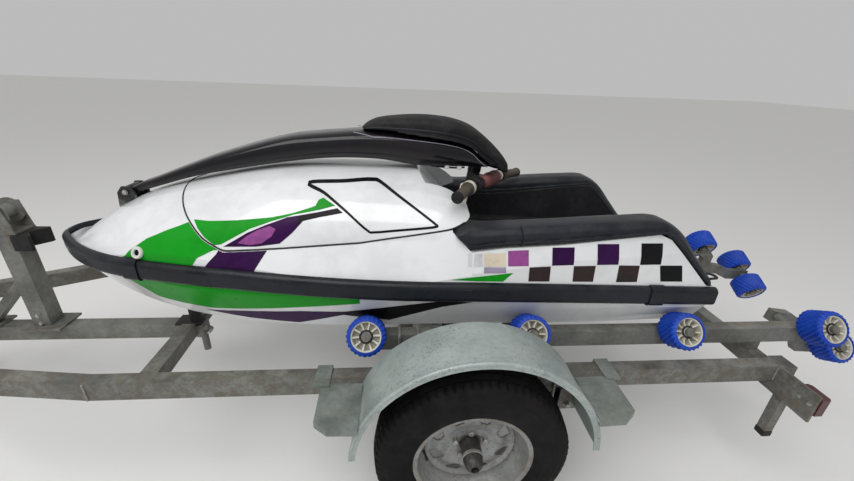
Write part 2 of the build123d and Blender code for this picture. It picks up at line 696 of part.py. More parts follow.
# Cross-members under the rails, with posts that carry the roller beams
member_w = 50.0
member_stations = [-330, -760]
beam_y, beam_w = 297.0, 42.0
beam_low, beam_high = 486.0, 544.0
beam_front, beam_back = -174.0, -1758.0
with BuildPart() as cross_members:
    for x in member_stations:
        with Locations((x, 0, rail_top - rail_h - seat)):
            Box(member_w, 2 * rail_path[0][1] + rail_w, member_w, align=(Align.CENTER, Align.CENTER, Align.MAX))
        with Locations([(x, side * beam_y, rail_top - rail_h - seat) for side in (1, -1)]):
            Box(40, 32, beam_low - rail_top + rail_h, align=(Align.CENTER, Align.CENTER, Align.MIN))
cross_members.part.label = "cross_members"
export_step(cross_members.part, "parts/cross_members.step")

# Rear cross-tube with corner blocks, lamp plates, short legs and posts
rear_face_x = -1550.0                        # front face, where the rails end
tube_w, tube_drop = 50.0, 30.0               # square cross-tube and how far it lies under the rails' top
block_len, block_w = 58.0, 60.0
plate_high, plate_t, plate_end_y = 100.0, 8.0, 566.0
leg_y, leg_w, leg_low = 462.0, 30.0, 208.0
post_back = 22.0                             # how far behind the front face the posts' middle is
with BuildPart() as rear_beam:
    with Locations((rear_face_x, 0, rail_top - tube_drop)):
        Box(tube_w, 2 * rail_path[0][1] - 10, tube_w, align=(Align.MAX, Align.CENTER, Align.MAX))
    for side in (1, -1):
        with Locations((rear_face_x, side * rail_path[0][1], rail_top)):
            Box(block_len, block_w, plate_high, align=(Align.MAX, Align.CENTER, Align.MAX))
        with Locations((rear_face_x, side * (rail_path[0][1] + plate_end_y) / 2, rail_top)):
            Box(plate_t, plate_end_y - rail_path[0][1], plate_high, align=(Align.MAX, Align.CENTER, Align.MAX))
        with Locations((rear_face_x - plate_t + 1, side * leg_y, leg_low)):
            Box(leg_w, leg_w, rail_top - 20 - leg_low, align=(Align.MAX, Align.CENTER, Align.MIN))
        with Locations((rear_face_x - post_back, side * beam_y, rail_top - tube_drop - 1)):
            Box(40, 32, beam_low - seat - rail_top + tube_drop + 1, align=(Align.CENTER, Align.CENTER, Align.MIN))
rear_beam.part.label = "rear_beam"
export_step(rear_beam.part, "parts/rear_beam.step")

# Dark red lamp blocks behind the lamp plates
lamp_len, lamp_w, lamp_h = 34.0, 70.0, 62.0
with BuildPart() as tail_lamps:
    with Locations([(rear_face_x - plate_t - seat, side * (plate_end_y - lamp_w / 2 + 4), rail_top - 10)
                    for side in (1, -1)]):
        Box(lamp_len, lamp_w, lamp_h, align=(Align.MAX, Align.CENTER, Align.MAX))
    chamfer(tail_lamps.edges().filter_by(Axis.Z).group_by(Axis.X)[0], length=8)
tail_lamps.part.label = "tail_lamps"
export_step(tail_lamps.part, "parts/tail_lamps.step")

# Rollers: ribbed wheels on tilted stub axles along the roller beams
roller_r = 60.0
roller_w = 84.0
roller_tilt = 30.0
roller_hub_r = 46.0
sleeve_r = 17.0
stub_r = 9.0
roller_gap = 0.4                            # running clearance on the stub axle
roller_stations = [15, -498, -1011]
roller_names = ["front", "middle", "rear"]
roller_z = 574.0                            # middle of a beam roller
roller_y = 364.0                            # first guess of its offset, clear of the hull
ribs = 12
rib_slant = 24.0


def roller_at(x, y, z, side):
    """Frame of a roller: its local z axis runs outward along the axle."""
    lean = radians(roller_tilt)
    return Location(Plane(origin=(x, y, z), x_dir=(1, 0, 0), z_dir=(0, side * cos(lean), sin(lean))))


with BuildPart() as roller:
    with BuildSketch(Plane.XZ):
        with BuildLine():
            half_w = roller_w / 2
            Polyline([(roller_hub_r, -half_w), (roller_r - 10, -half_w), (roller_r - 3, -half_w + 9),
                      (roller_r - 3, half_w - 9), (roller_r - 10, half_w), (roller_hub_r, half_w)],
                     close=True)
        make_face()
    revolve(axis=Axis.Z)
    with BuildSketch(Plane.XY.offset(-7)):
        Circle(roller_hub_r + 1)
        with PolarLocations(31, 5):
            Circle(9.5, mode=Mode.SUBTRACT)
    extrude(amount=14)
    with BuildSketch(Plane.XY.offset(-30)):
        Circle(16)
    extrude(amount=60)
    with PolarLocations(roller_r - 6, ribs):
        with Locations(Location((0, 0, 0), (rib_slant, 0, 0))):
            Box(11, 9, roller_w - 14)
    with BuildSketch(Plane.XZ):
        with Locations((0, -half_w)):
            Rectangle(roller_r, roller_w, align=(Align.MIN, Align.MIN))
    revolve(axis=Axis.Z, mode=Mode.INTERSECT)
    Cylinder(stub_r + roller_gap, roller_w + 10, mode=Mode.SUBTRACT)


with BuildPart() as roller_envelope:
    with BuildSketch(Plane.XZ):
        with BuildLine():
            Polyline([(30, -half_w), (roller_r - 10, -half_w), (roller_r, -half_w + 7),
                      (roller_r, half_w - 7), (30, half_w)], close=True)
        make_face()
    revolve(axis=Axis.Z)


def seated_roller(x):
    """Offset from the middle at which a beam roller just clears the hull."""
    y = roller_y
    for i in range(2):
        gap = roller_envelope.part.located(roller_at(x, y, roller_z, 1)).distance_to(hull.part)
        y -= (gap - seat) * 1.05
    return y


beam_rollers = [(name, at(x), seated_roller(at(x))) for x, name in zip(roller_stations, roller_names)]
end_roller_x = -1735.0                      # roller on the rear end of the port beam
end_roller_y = beam_rollers[2][2]

# Beams along the rollers, each with three tilted stub axles
for side, side_name in ((1, "left"), (-1, "right")):
    with BuildPart() as roller_beam:
        with Locations(((beam_front + beam_back) / 2, side * beam_y, beam_low)):
            Box(beam_front - beam_back, beam_w, beam_high - beam_low,
                align=(Align.CENTER, Align.CENTER, Align.MIN))
        on_beam = [("roller_" + side_name + "_" + name, x, y) for name, x, y in beam_rollers]
        if side > 0:
            on_beam.append(("roller_left_end", end_roller_x, end_roller_y))
        for name, x, y in on_beam:
            place = roller_at(x, side * y, roller_z, side)
            with Locations(place * Pos(0, 0, -68)):
                Cylinder(sleeve_r, 32, align=(Align.CENTER, Align.CENTER, Align.MIN))
            with Locations(place * Pos(0, 0, -60)):
                Cylinder(stub_r, 100, align=(Align.CENTER, Align.CENTER, Align.MIN))
            with Locations(place * Pos(0, 0, 36)):
                Cylinder(14, 8, align=(Align.CENTER, Align.CENTER, Align.MIN))
            piece = roller.part.located(place)
            piece.label = name
            export_step(piece, "parts/" + name + ".step")
    roller_beam.part.label = "roller_beam_" + side_name
    export_step(roller_beam.part, "parts/" + roller_beam.part.label + ".step")

# Curved rear arms with their own rollers, bolted to the beams' rear ends
arm_y, arm_t, arm_h = 198.0, 28.0, 44.0
arm_lines = {
    "left": [[(-1720, 518), (-1790, 508), (-1845, 474), (-1876, 420), (-1905, 368), (-1992, 362)]],
    "right": [[(-1738, 592), (-1756, 570), (-1752, 530), (-1738, 500)],
              [(-1745, 520), (-1830, 505), (-1890, 478), (-1988, 474)]],
}
arm_pivot = (-1738, 516)
# Rollers on the arms: name, side, place of the roller's middle
arm_rollers = [
    ("roller_arm_left_lower", 1, (-1972, 256, 408)),
    ("roller_arm_right_front", -1, (-1755, -256, 612)), ("roller_arm_right_outer", -1, (-1969, -256, 508)),
    ("roller_arm_right_inner", -1, (-1969, -140, 441)),
]
for side, side_name in ((1, "left"), (-1, "right")):
    with BuildPart() as swing_arm:
        for line in arm_lines[side_name]:
            with BuildSketch(Plane.XZ.offset(-side * arm_y)):
                with BuildLine():
                    Polyline(ribbon(line, arm_h), close=True)
                make_face()
            extrude(amount=arm_t / 2, both=True)
        with Locations(Location((arm_pivot[0], side * (arm_y - arm_t / 2), arm_pivot[1]), (-side * 90, 0, 0))):
            Cylinder(15, beam_y - beam_w / 2 - seat - arm_y + arm_t / 2,
                     align=(Align.CENTER, Align.CENTER, Align.MIN))
        for name, middle in [(row[0], row[2]) for row in arm_rollers if row[1] == side]:
            place = roller_at(*middle, side)
            outward = (abs(middle[1]) - arm_y) / cos(radians(roller_tilt))
            if outward > 0:
                with Locations(place * Pos(0, 0, -outward)):
                    Cylinder(sleeve_r, outward - 36, align=(Align.CENTER, Align.CENTER, Align.MIN))
                    Cylinder(stub_r, outward + 40, align=(Align.CENTER, Align.CENTER, Align.MIN))
                with Locations(place * Pos(0, 0, 36)):
                    Cylinder(14, 8, align=(Align.CENTER, Align.CENTER, Align.MIN))
            else:
                with Locations(place * Pos(0, 0, 36)):
                    Cylinder(sleeve_r, -outward - 36, align=(Align.CENTER, Align.CENTER, Align.MIN))
                with Locations(place * Pos(0, 0, -40)):
                    Cylinder(stub_r, 40 - outward, align=(Align.CENTER, Align.CENTER, Align.MIN))
                with Locations(place * Pos(0, 0, -44)):
                    Cylinder(14, 8, align=(Align.CENTER, Align.CENTER, Align.MIN))
            piece = roller.part.located(place)
            piece.label = name
            export_step(piece, "parts/" + name + ".step")
    swing_arm.part.label = "swing_arm_" + side_name
    export_step(swing_arm.part, "parts/" + swing_arm.part.label + ".step")

# V-shaped keel rest on a tube clamped to the front cross-member
rest_x = 500.0
rest_half = 64.0
rest_len = 46.0
with BuildPart() as keel_rest:
    with BuildSketch(Plane.YZ.offset(rest_x)):
        with BuildLine():
            Polyline([(0, 470), (rest_half, 534), (rest_half, 580), (-rest_half, 580), (-rest_half, 534)],
                     close=True)
        make_face()
    extrude(amount=rest_len / 2, both=True)
    add(hull.part.moved(Location((0, 0, -seat))), mode=Mode.SUBTRACT)
    with BuildSketch(Plane.XY.offset(spine_top + seat)):
        with Locations((rest_x + 22, 0)):
            Rectangle(90, 62)
    extrude(amount=8)
    with BuildSketch(Plane.XY.offset(spine_top + seat)):
        with Locations((rest_x, 0)):
            Circle(21)
    extrude(amount=100)
    add(drawbar.part.moved(Location((0, 0, seat))), mode=Mode.SUBTRACT)
keel_rest.part.label = "keel_rest"
export_step(keel_rest.part, "parts/keel_rest.step")

# Axle, leaf springs, hangers
wheel_x, wheel_z, tyre_r = -514.0, 291.0, 291.0
tyre_in, tyre_out = 445.0, 600.0
axle_w = 50.0
leaf_w, leaf_t, leaf_half = 45.0, 7.0, 330.0
eye_z = 352.0
spring_z = wheel_z + axle_w / 2 + seat
with BuildPart() as axle:
    with Locations((wheel_x, 0, wheel_z)):
        Box(axle_w, 2 * (tyre_in - 16), axle_w)
        for side in (1, -1):
            with Locations(Location((0, side * (tyre_in - 18), 0), (-side * 90, 0, 0))):
                Cylinder(17, 76, align=(Align.CENTER, Align.CENTER, Align.MIN))
axle.part.label = "axle"
export_step(axle.part, "parts/axle.step")

with BuildPart() as leaf_springs:
    for side in (1, -1):
        for k, share in enumerate((1.0, 0.72, 0.46)):
            reach = leaf_half * share
            rise = (eye_z - leaf_t / 2 - spring_z - 2.5 * leaf_t) * share ** 2
            low = spring_z + (2 - k) * leaf_t
            with BuildSketch(Plane.XZ.offset(-side * rail_path[0][1])):
                with BuildLine():
                    ThreePointArc((wheel_x - reach, low + rise), (wheel_x, low), (wheel_x + reach, low + rise))
                    Line((wheel_x + reach, low + rise), (wheel_x + reach, low + rise + leaf_t + 0.2))
                    ThreePointArc((wheel_x + reach, low + rise + leaf_t + 0.2), (wheel_x, low + leaf_t + 0.2),
                                  (wheel_x - reach, low + rise + leaf_t + 0.2))
                    Line((wheel_x - reach, low + rise + leaf_t + 0.2), (wheel_x - reach, low + rise))
                make_face()
            extrude(amount=leaf_w / 2, both=True)
        for end in (1, -1):
            with Locations(Location((wheel_x + end * leaf_half, side * rail_path[0][1], eye_z), (90, 0, 0))):
                Cylinder(13, leaf_w)
leaf_springs.part.label = "leaf_springs"
export_step(leaf_springs.part, "parts/leaf_springs.step")

with BuildPart() as spring_hangers:
    for side in (1, -1):
        for end in (1, -1):
            with Locations((wheel_x + end * leaf_half, side * rail_path[0][1], rail_top - rail_h - seat)):
                Box(60, leaf_w + 14, rail_top - rail_h - seat - eye_z + 22,
                    align=(Align.CENTER, Align.CENTER, Align.MAX))
                Box(80, leaf_w + seat * 2, rail_top - rail_h - eye_z - 17 + 80,
                    align=(Align.CENTER, Align.CENTER, Align.MAX), mode=Mode.SUBTRACT)
                Box(60, leaf_w + 14, 8, align=(Align.CENTER, Align.CENTER, Align.MAX))
spring_hangers.part.label = "spring_hangers"
export_step(spring_hangers.part, "parts/spring_hangers.step")

# Wheels: pressed rim with vents and a long hub cap; tyre
rim_r = 177.0
disc_y = (tyre_in + tyre_out) / 2 - 8.5      # the pressed disc lies a little inside the tyre's middle
well = 0.26 * (tyre_out - tyre_in)           # width of each bead seat
bead_r = 168.0
vents = 8
fender_in, fender_out = 440.0, 612.0
fender_r, fender_z, fender_t = 352.0, 328.0, 3.0
fender_low = 355.0                           # level of the fender's ends
lip_deep = 16.0
for side, side_name in ((1, "left"), (-1, "right")):
    with BuildPart() as rim:
        with BuildSketch(Plane.YZ.offset(wheel_x)):
            with BuildLine():
                Polyline([(side * y, wheel_z + r) for y, r in [
                    (tyre_in + 14, rim_r), (tyre_in + 18, rim_r), (tyre_in + 22, bead_r), (tyre_in + well, bead_r - 6),
                    (disc_y - 14, 146), (disc_y + 10, 146), (tyre_out - well, bead_r - 6), (tyre_out - 22, bead_r),
                    (tyre_out - 18, rim_r), (tyre_out - 14, rim_r), (tyre_out - 14, rim_r - 4),
                    (tyre_out - 18, bead_r - 5), (tyre_out - well + 2, bead_r - 11), (disc_y + 12, 138), (disc_y + 2, 120),
                    (disc_y + 12, 96), (disc_y + 4, 62), (disc_y + 4, 30), (disc_y + 70, 30), (disc_y + 88, 25),
                    (disc_y + 95, 12), (disc_y + 95, 0.5), (disc_y + 40, 0.5), (disc_y + 40, 17 + roller_gap),
                    (disc_y - 50, 17 + roller_gap), (disc_y - 50, 34), (disc_y - 2, 40), (disc_y - 2, 62),
                    (disc_y + 6, 96), (disc_y - 4, 120), (disc_y - 4, 134), (disc_y - 16, 139),
                    (tyre_in + well - 4, bead_r - 11), (tyre_in + 18, bead_r - 5), (tyre_in + 14, rim_r - 4)]], close=True)
            make_face()
        revolve(axis=Axis((wheel_x, 0, wheel_z), (0, 1, 0)))
        with BuildSketch(Plane(origin=(wheel_x, side * (disc_y - 30), wheel_z), x_dir=(1, 0, 0), z_dir=(0, side, 0))):
            with PolarLocations(106, vents):
                Trapezoid(26, 34, 78, rotation=-90)
        extrude(amount=60, mode=Mode.SUBTRACT)
    rim.part.label = "rim_" + side_name
    export_step(rim.part, "parts/" + rim.part.label + ".step")

    with BuildPart() as tyre:
        with BuildSketch(Plane.YZ.offset(wheel_x)):
            with BuildLine():
                Polyline([(side * y, wheel_z + r) for y, r in [
                    (tyre_in + 23, bead_r + seat), (tyre_in + 19, rim_r + 0.6), (tyre_in + 12, rim_r + 1),
                    (tyre_in + 8, 190), (tyre_in, 228), (tyre_in + 6, 264),
                    (tyre_in + 22, tyre_r - 7), (tyre_in + 44, tyre_r - 1), ((tyre_in + tyre_out) / 2, tyre_r),
                    (tyre_out - 44, tyre_r - 1),
                    (tyre_out - 22, tyre_r - 7), (tyre_out - 6, 264), (tyre_out, 228), (tyre_out - 8, 190),
                    (tyre_out - 12, rim_r + 1), (tyre_out - 19, rim_r + 0.6),
                    (tyre_out - 23, bead_r + seat), (tyre_out - 32, bead_r + 4), (tyre_out - 20, 196),
                    (tyre_out - 12, 228), (tyre_out - 20, 262), (tyre_out - 44, 278), (tyre_in + 44, 278),
                    (tyre_in + 20, 262), (tyre_in + 12, 228), (tyre_in + 20, 196), (tyre_in + 32, bead_r + 4)]],
                    close=True)
            make_face()
        revolve(axis=Axis((wheel_x, 0, wheel_z), (0, 1, 0)))
    tyre.part.label = "tyre_" + side_name
    export_step(tyre.part, "parts/" + tyre.part.label + ".step")

    # Fender over the wheel with a rolled outer lip
    with BuildPart() as fender:
        with BuildSketch(Plane.XZ.offset(-side * fender_in)):
            with Locations((wheel_x, fender_z)):
                Circle(fender_r)
                Circle(fender_r - fender_t, mode=Mode.SUBTRACT)
            with Locations((wheel_x, fender_low)):
                Rectangle(4 * fender_r, 2 * fender_r, align=(Align.CENTER, Align.MAX), mode=Mode.SUBTRACT)
        extrude(amount=-side * (fender_out - fender_in))
        with BuildSketch(Plane.XZ.offset(-side * fender_out)):
            with Locations((wheel_x, fender_z)):
                Circle(fender_r)
                Circle(fender_r - lip_deep, mode=Mode.SUBTRACT)
            with Locations((wheel_x, fender_low)):
                Rectangle(4 * fender_r, 2 * fender_r, align=(Align.CENTER, Align.MAX), mode=Mode.SUBTRACT)
        extrude(amount=side * fender_t)
    fender.part.label = "fender_" + side_name
    export_step(fender.part, "parts/" + fender.part.label + ".step")

# Step plates before and behind each fender, strapped over the rail
plate_edge = [(-73, 455), (-75, 588), (-111, 615), (-190, 618)]
plate_inner = (-190, 459)
step_t = 3.0
lip_h = 22.0
strap_x, strap_w = -61.0, 46.0
with BuildPart() as step_plates:
    for side in (1, -1):
        with BuildSketch(Plane.XY.offset(rail_top)):
            with BuildLine():
                Polyline([(x, side * y) for x, y in plate_edge + [plate_inner]], close=True)
            make_face()
        extrude(amount=step_t)
        with BuildSketch(Plane.XY.offset(rail_top + step_t)):
            with BuildLine():
                Polyline(ribbon([(x, side * y) for x, y in plate_edge], step_t), close=True)
            make_face()
        extrude(amount=-lip_h)
        with Locations((strap_x - 12, side * 427, rail_top + seat)):
            Box(strap_w, 88, 7, align=(Align.CENTER, Align.CENTER, Align.MIN))
        with Locations((strap_x - 12, side * 385.6, rail_top + seat + 7)):
            Box(strap_w, 5, 50, align=(Align.CENTER, Align.CENTER, Align.MAX))
    with Locations(Location((wheel_x, 0, fender_z), (90, 0, 0))):
        Cylinder(fender_r + seat, 1400, mode=Mode.SUBTRACT)
    mirror(about=Plane.YZ.offset(wheel_x))
step_plates.part.label = "step_plates"
export_step(step_plates.part, "parts/step_plates.step")

# Coupling head on the drawbar
nose_x = 2032.0
ball_r = 25.0
with BuildPart() as coupling:
    with BuildSketch(Plane.XY.offset(spine_top + seat)):
        with Locations((nose_x - 44, 0)):
            Circle(44)
        with Locations((nose_x - 44, 0)):
            Rectangle(100, 70, align=(Align.MAX, Align.CENTER))
        with Locations((1790, 0)):
            Rectangle(160, 52, align=(Align.MIN, Align.CENTER))
    extrude(amount=52)
    with BuildSketch(Plane.XZ):
        with BuildLine():
            Polyline([(1780, 300), (1780, 408), (1880, 436), (nose_x - 60, 436), (nose_x + 4, 418),
                      (nose_x + 4, 300)], close=True)
        make_face()
    extrude(amount=60, both=True, mode=Mode.INTERSECT)
    with Locations((nose_x - 44, 0, spine_top - 2)):
        Sphere(ball_r + 3, mode=Mode.SUBTRACT)
    with Locations((1895, 0, 434)):
        Box(110, 26, 14, align=(Align.CENTER, Align.CENTER, Align.MIN))
    with Locations(Location((1842, 0, 455), (90, 0, 0))):
        Cylinder(15, 30)
coupling.part.label = "coupling"
export_step(coupling.part, "parts/coupling.step")

# Winch post with brace and bow stop
post_x, post_w, post_top = 1040.0, 60.0, 770.0
drum_z = 836.0
drum_r, flange_r = 24.0, 44.0
frame_y = 38.0                              # middle of each side plate of the winch
stop_w, stop_h = 96.0, 54.0                  # rubber stop: width and height
stop_z = up(bond_line[2][1]) - 17
with BuildPart() as winch_post:
    with Locations((post_x, 0, spine_top + seat)):
        Box(150, 110, 8, align=(Align.CENTER, Align.CENTER, Align.MIN))
        Box(post_w, post_w, post_top - spine_top - seat, align=(Align.CENTER, Align.CENTER, Align.MIN))
    with BuildSketch(Plane.XZ):
        with BuildLine():
            Polyline([(post_x + 20, 560), (post_x + 20, 600), (post_x + 220, 392), (post_x + 180, 392)], close=True)
        make_face()
    extrude(amount=20, both=True)
    with Locations((post_x + 200, 0, spine_top + seat)):
        Box(90, 90, 8, align=(Align.CENTER, Align.CENTER, Align.MIN))
    with Locations((post_x - post_w / 2 - 5, 0, stop_z)):
        Box(10, stop_w, stop_h, align=(Align.MIN, Align.CENTER, Align.CENTER))
    with Locations((post_x, 0, post_top - 1)):
        Box(100, 2 * frame_y + 5, 7, align=(Align.CENTER, Align.CENTER, Align.MIN))
    for side in (1, -1):
        with BuildSketch(Plane.XZ.offset(-side * frame_y)):
            with BuildLine():
                Polyline([(post_x - 50, post_top), (post_x - 30, drum_z + 34), (post_x + 30, drum_z + 34),
                          (post_x + 50, post_top)], close=True)
            make_face()
            with Locations((post_x, drum_z)):
                Circle(10.4, mode=Mode.SUBTRACT)
        extrude(amount=2.5, both=True)
winch_post.part.label = "winch_post"
export_step(winch_post.part, "parts/winch_post.step")

# Rubber block with a notch for the bow
stop_len = 56.0
with BuildPart() as bow_stop:
    with BuildSketch(Plane.XY.offset(stop_z - stop_h / 2)):
        with Locations((post_x - post_w / 2 - 5 - seat, 0)):
            Rectangle(stop_len, stop_w, align=(Align.MAX, Align.CENTER))
        with BuildLine():
            notch_x = post_x - post_w / 2 - 5 - stop_len
            Polyline([(notch_x - 1, 38), (notch_x + 32, 0), (notch_x - 1, -38)], close=True)
        make_face(mode=Mode.SUBTRACT)
    extrude(amount=stop_h)
bow_stop.part.label = "bow_stop"
export_step(bow_stop.part, "parts/bow_stop.step")

# Winch drum with its crank
crank_len = 150.0
crank_y = 62.0
with BuildPart() as winch_drum:
    with Locations(Location((post_x, 0, drum_z), (90, 0, 0))):
        Cylinder(drum_r, 2 * frame_y - 12)
        with Locations([(0, 0, side * (frame_y - 8)) for side in (1, -1)]):
            Cylinder(flange_r, 4)
        Cylinder(10, 2 * frame_y + 14)
    with Locations(Location((post_x, frame_y + 6, drum_z), (-90, 0, 0))):
        Cylinder(10, crank_y - frame_y, align=(Align.CENTER, Align.CENTER, Align.MIN))
    with Locations((post_x + crank_len / 2, crank_y, drum_z)):
        Box(crank_len + 28, 8, 22)
    with Locations(Location((post_x + crank_len, crank_y, drum_z), (-90, 0, 0))):
        Cylinder(15, 96, align=(Align.CENTER, Align.CENTER, Align.MIN))
winch_drum.part.label = "winch_drum"
export_step(winch_drum.part, "parts/winch_drum.step")

# Jockey wheel: bracket with outer tube, sliding stem, swivelling fork, wheel
jockey_x, jockey_y = 1650.0, -78.0
jockey_r, jockey_w = 95.0, 52.0
trail = 34.0
tube_r, stem_tube_r = 30.0, 25.0
tube_low, tube_top = 326.0, 560.0
crown_low, crown_t = 202.0, 10.0
with BuildPart() as jockey_bracket:
    with Locations((jockey_x, -spine_w / 2 - seat, spine_top - spine_h)):
        Box(70, 8, 96, align=(Align.CENTER, Align.MAX, Align.MIN))
    with Locations((jockey_x, jockey_y, tube_low)):
        Cylinder(tube_r, tube_top - tube_low, align=(Align.CENTER, Align.CENTER, Align.MIN))
    with Locations((jockey_x, (jockey_y - spine_w / 2) / 2, spine_top - spine_h / 2 + 10)):
        Box(50, abs(jockey_y) - spine_w / 2 - 6, 60)
    with Locations((jockey_x, jockey_y, tube_low)):
        Cylinder(stem_tube_r + 0.5, 600, align=(Align.CENTER, Align.CENTER, Align.CENTER), mode=Mode.SUBTRACT)
jockey_bracket.part.label = "jockey_bracket"
export_step(jockey_bracket.part, "parts/jockey_bracket.step")

with BuildPart() as jockey_stem:
    with Locations((jockey_x, jockey_y, crown_low + crown_t + 1)):
        Cylinder(stem_tube_r, tube_top + 60 - crown_low - crown_t, align=(Align.CENTER, Align.CENTER, Align.MIN))
    with Locations((jockey_x, jockey_y, tube_top + 12)):
        Cylinder(tube_r, 34, align=(Align.CENTER, Align.CENTER, Align.MIN))
    with Locations((jockey_x - 45, jockey_y, tube_top + 60)):
        Box(130, 22, 8, align=(Align.CENTER, Align.CENTER, Align.MIN))
    with Locations((jockey_x - 96, jockey_y, tube_top + 66)):
        Cylinder(13, 70, align=(Align.CENTER, Align.CENTER, Align.MIN))
jockey_stem.part.label = "jockey_stem"
export_step(jockey_stem.part, "parts/jockey_stem.step")

with BuildPart() as jockey_fork:
    with Locations((jockey_x - trail / 2, jockey_y, crown_low)):
        Box(90, jockey_w + 26, crown_t, align=(Align.CENTER, Align.CENTER, Align.MIN))
    for side in (1, -1):
        with Locations((jockey_x - trail, jockey_y + side * (jockey_w / 2 + 9), crown_low + 1)):
            Box(40, 6, crown_low - jockey_r + 16, align=(Align.CENTER, Align.CENTER, Align.MAX))
    with Locations(Location((jockey_x - trail, jockey_y, jockey_r), (90, 0, 0))):
        Cylinder(8, jockey_w + 36)
jockey_fork.part.label = "jockey_fork"
export_step(jockey_fork.part, "parts/jockey_fork.step")

with BuildPart() as jockey_wheel:
    with Locations(Location((jockey_x - trail, jockey_y, jockey_r), (90, 0, 0))):
        Cylinder(jockey_r, jockey_w)
        chamfer(jockey_wheel.edges(), length=8)
        for end in (1, -1):
            with Locations((0, 0, end * jockey_w / 2)):
                Cylinder(62, 26, mode=Mode.SUBTRACT)
        Cylinder(20, jockey_w + 6)
        Cylinder(8 + pin_gap, 200, mode=Mode.SUBTRACT)
jockey_wheel.part.label = "jockey_wheel"
export_step(jockey_wheel.part, "parts/jockey_wheel.step")
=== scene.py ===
import math

import bmesh
import bpy
from mathutils import Matrix, Vector
from mathutils.bvhtree import BVHTree


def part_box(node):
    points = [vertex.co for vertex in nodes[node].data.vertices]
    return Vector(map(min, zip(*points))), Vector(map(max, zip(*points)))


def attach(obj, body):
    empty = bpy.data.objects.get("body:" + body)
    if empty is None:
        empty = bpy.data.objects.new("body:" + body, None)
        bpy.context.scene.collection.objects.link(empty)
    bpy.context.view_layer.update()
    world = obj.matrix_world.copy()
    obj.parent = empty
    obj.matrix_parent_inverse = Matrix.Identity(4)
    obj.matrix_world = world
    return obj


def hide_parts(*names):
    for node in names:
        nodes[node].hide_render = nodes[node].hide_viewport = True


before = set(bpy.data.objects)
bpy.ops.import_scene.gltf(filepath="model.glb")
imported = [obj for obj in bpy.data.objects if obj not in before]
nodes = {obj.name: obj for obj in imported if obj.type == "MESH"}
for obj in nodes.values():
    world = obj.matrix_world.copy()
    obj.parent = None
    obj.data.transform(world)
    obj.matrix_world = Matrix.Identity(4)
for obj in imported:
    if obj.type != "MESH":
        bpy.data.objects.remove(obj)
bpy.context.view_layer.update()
root = "craft_and_trailer"
scene = bpy.context.scene

# camera at the photograph's viewing angle
shot = {"place": (-0.28513, 1.32387, 1.32595), "turnDeg": (66.0722, -2.0842, 175.7135), "lens": 16.113}
cameraData = bpy.data.cameras.new("shotCamera")
cameraData.lens = shot["lens"]
cameraData.sensor_width = 36.0
cameraData.sensor_fit = "HORIZONTAL"
cameraData.clip_start = 0.01
camera = bpy.data.objects.new("shotCamera", cameraData)
camera.location = shot["place"]
camera.rotation_euler = [math.radians(a) for a in shot["turnDeg"]]
scene.collection.objects.link(camera)
scene.camera = camera
scene.view_settings.view_transform = "Standard"
print("camera set")


def craftX(x):                      # craft station in mm to metres in the frame
    return (x - 214.0) / 1000


def craftZ(z):                      # craft height in mm to metres in the frame
    return (z + 480.0) / 1000


def addPiece(name, verts, faces, materials, body=root, smooth=True, faceMaterials=None):
    mesh = bpy.data.meshes.new(name)
    mesh.from_pydata([tuple(v) for v in verts], [], faces)
    mesh.validate()
    piece = bpy.data.objects.new(name, mesh)
    scene.collection.objects.link(piece)
    for material in materials if isinstance(materials, (list, tuple)) else [materials]:
        mesh.materials.append(material)
    if faceMaterials:
        mesh.polygons.foreach_set("material_index", faceMaterials)
    mesh.polygons.foreach_set("use_smooth", [smooth] * len(mesh.polygons))
    outward(mesh)
    if smooth:
        mesh.set_sharp_from_angle(angle=math.radians(42))
    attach(piece, body)
    return piece


def outward(mesh):
    shape = bmesh.new()
    shape.from_mesh(mesh)
    bmesh.ops.recalc_face_normals(shape, faces=shape.faces)
    shape.to_mesh(mesh)
    shape.free()


def settle(piece):                  # applies the modifiers
    graph = bpy.context.evaluated_depsgraph_get()
    made = bpy.data.meshes.new_from_object(piece.evaluated_get(graph))
    piece.modifiers.clear()
    old = piece.data
    piece.data = made
    bpy.data.meshes.remove(old)
    return piece


def soften(piece, width, segments=2, angleDeg=35):
    bevel = piece.modifiers.new("bevel", "BEVEL")
    bevel.width = width
    bevel.segments = segments
    bevel.limit_method = "ANGLE"
    bevel.angle_limit = math.radians(angleDeg)
    return settle(piece)


def subdivide(piece, levels=1):
    smoothing = piece.modifiers.new("smoothing", "SUBSURF")
    smoothing.levels = levels
    smoothing.render_levels = levels
    return settle(piece)


# padded fabric: remeshed, blown up a little by cloth pressure and capped, then applied to the mesh
padCloth = {"startSmaller": 0.7, "undersideNormal": -0.35, "frames": 20, "quality": 5, "mass": 0.3,
            "stretch": 12.0,
            "shear": 6.0, "bending": 0.5, "smoothing": 0.5, "smoothingTurns": 4}


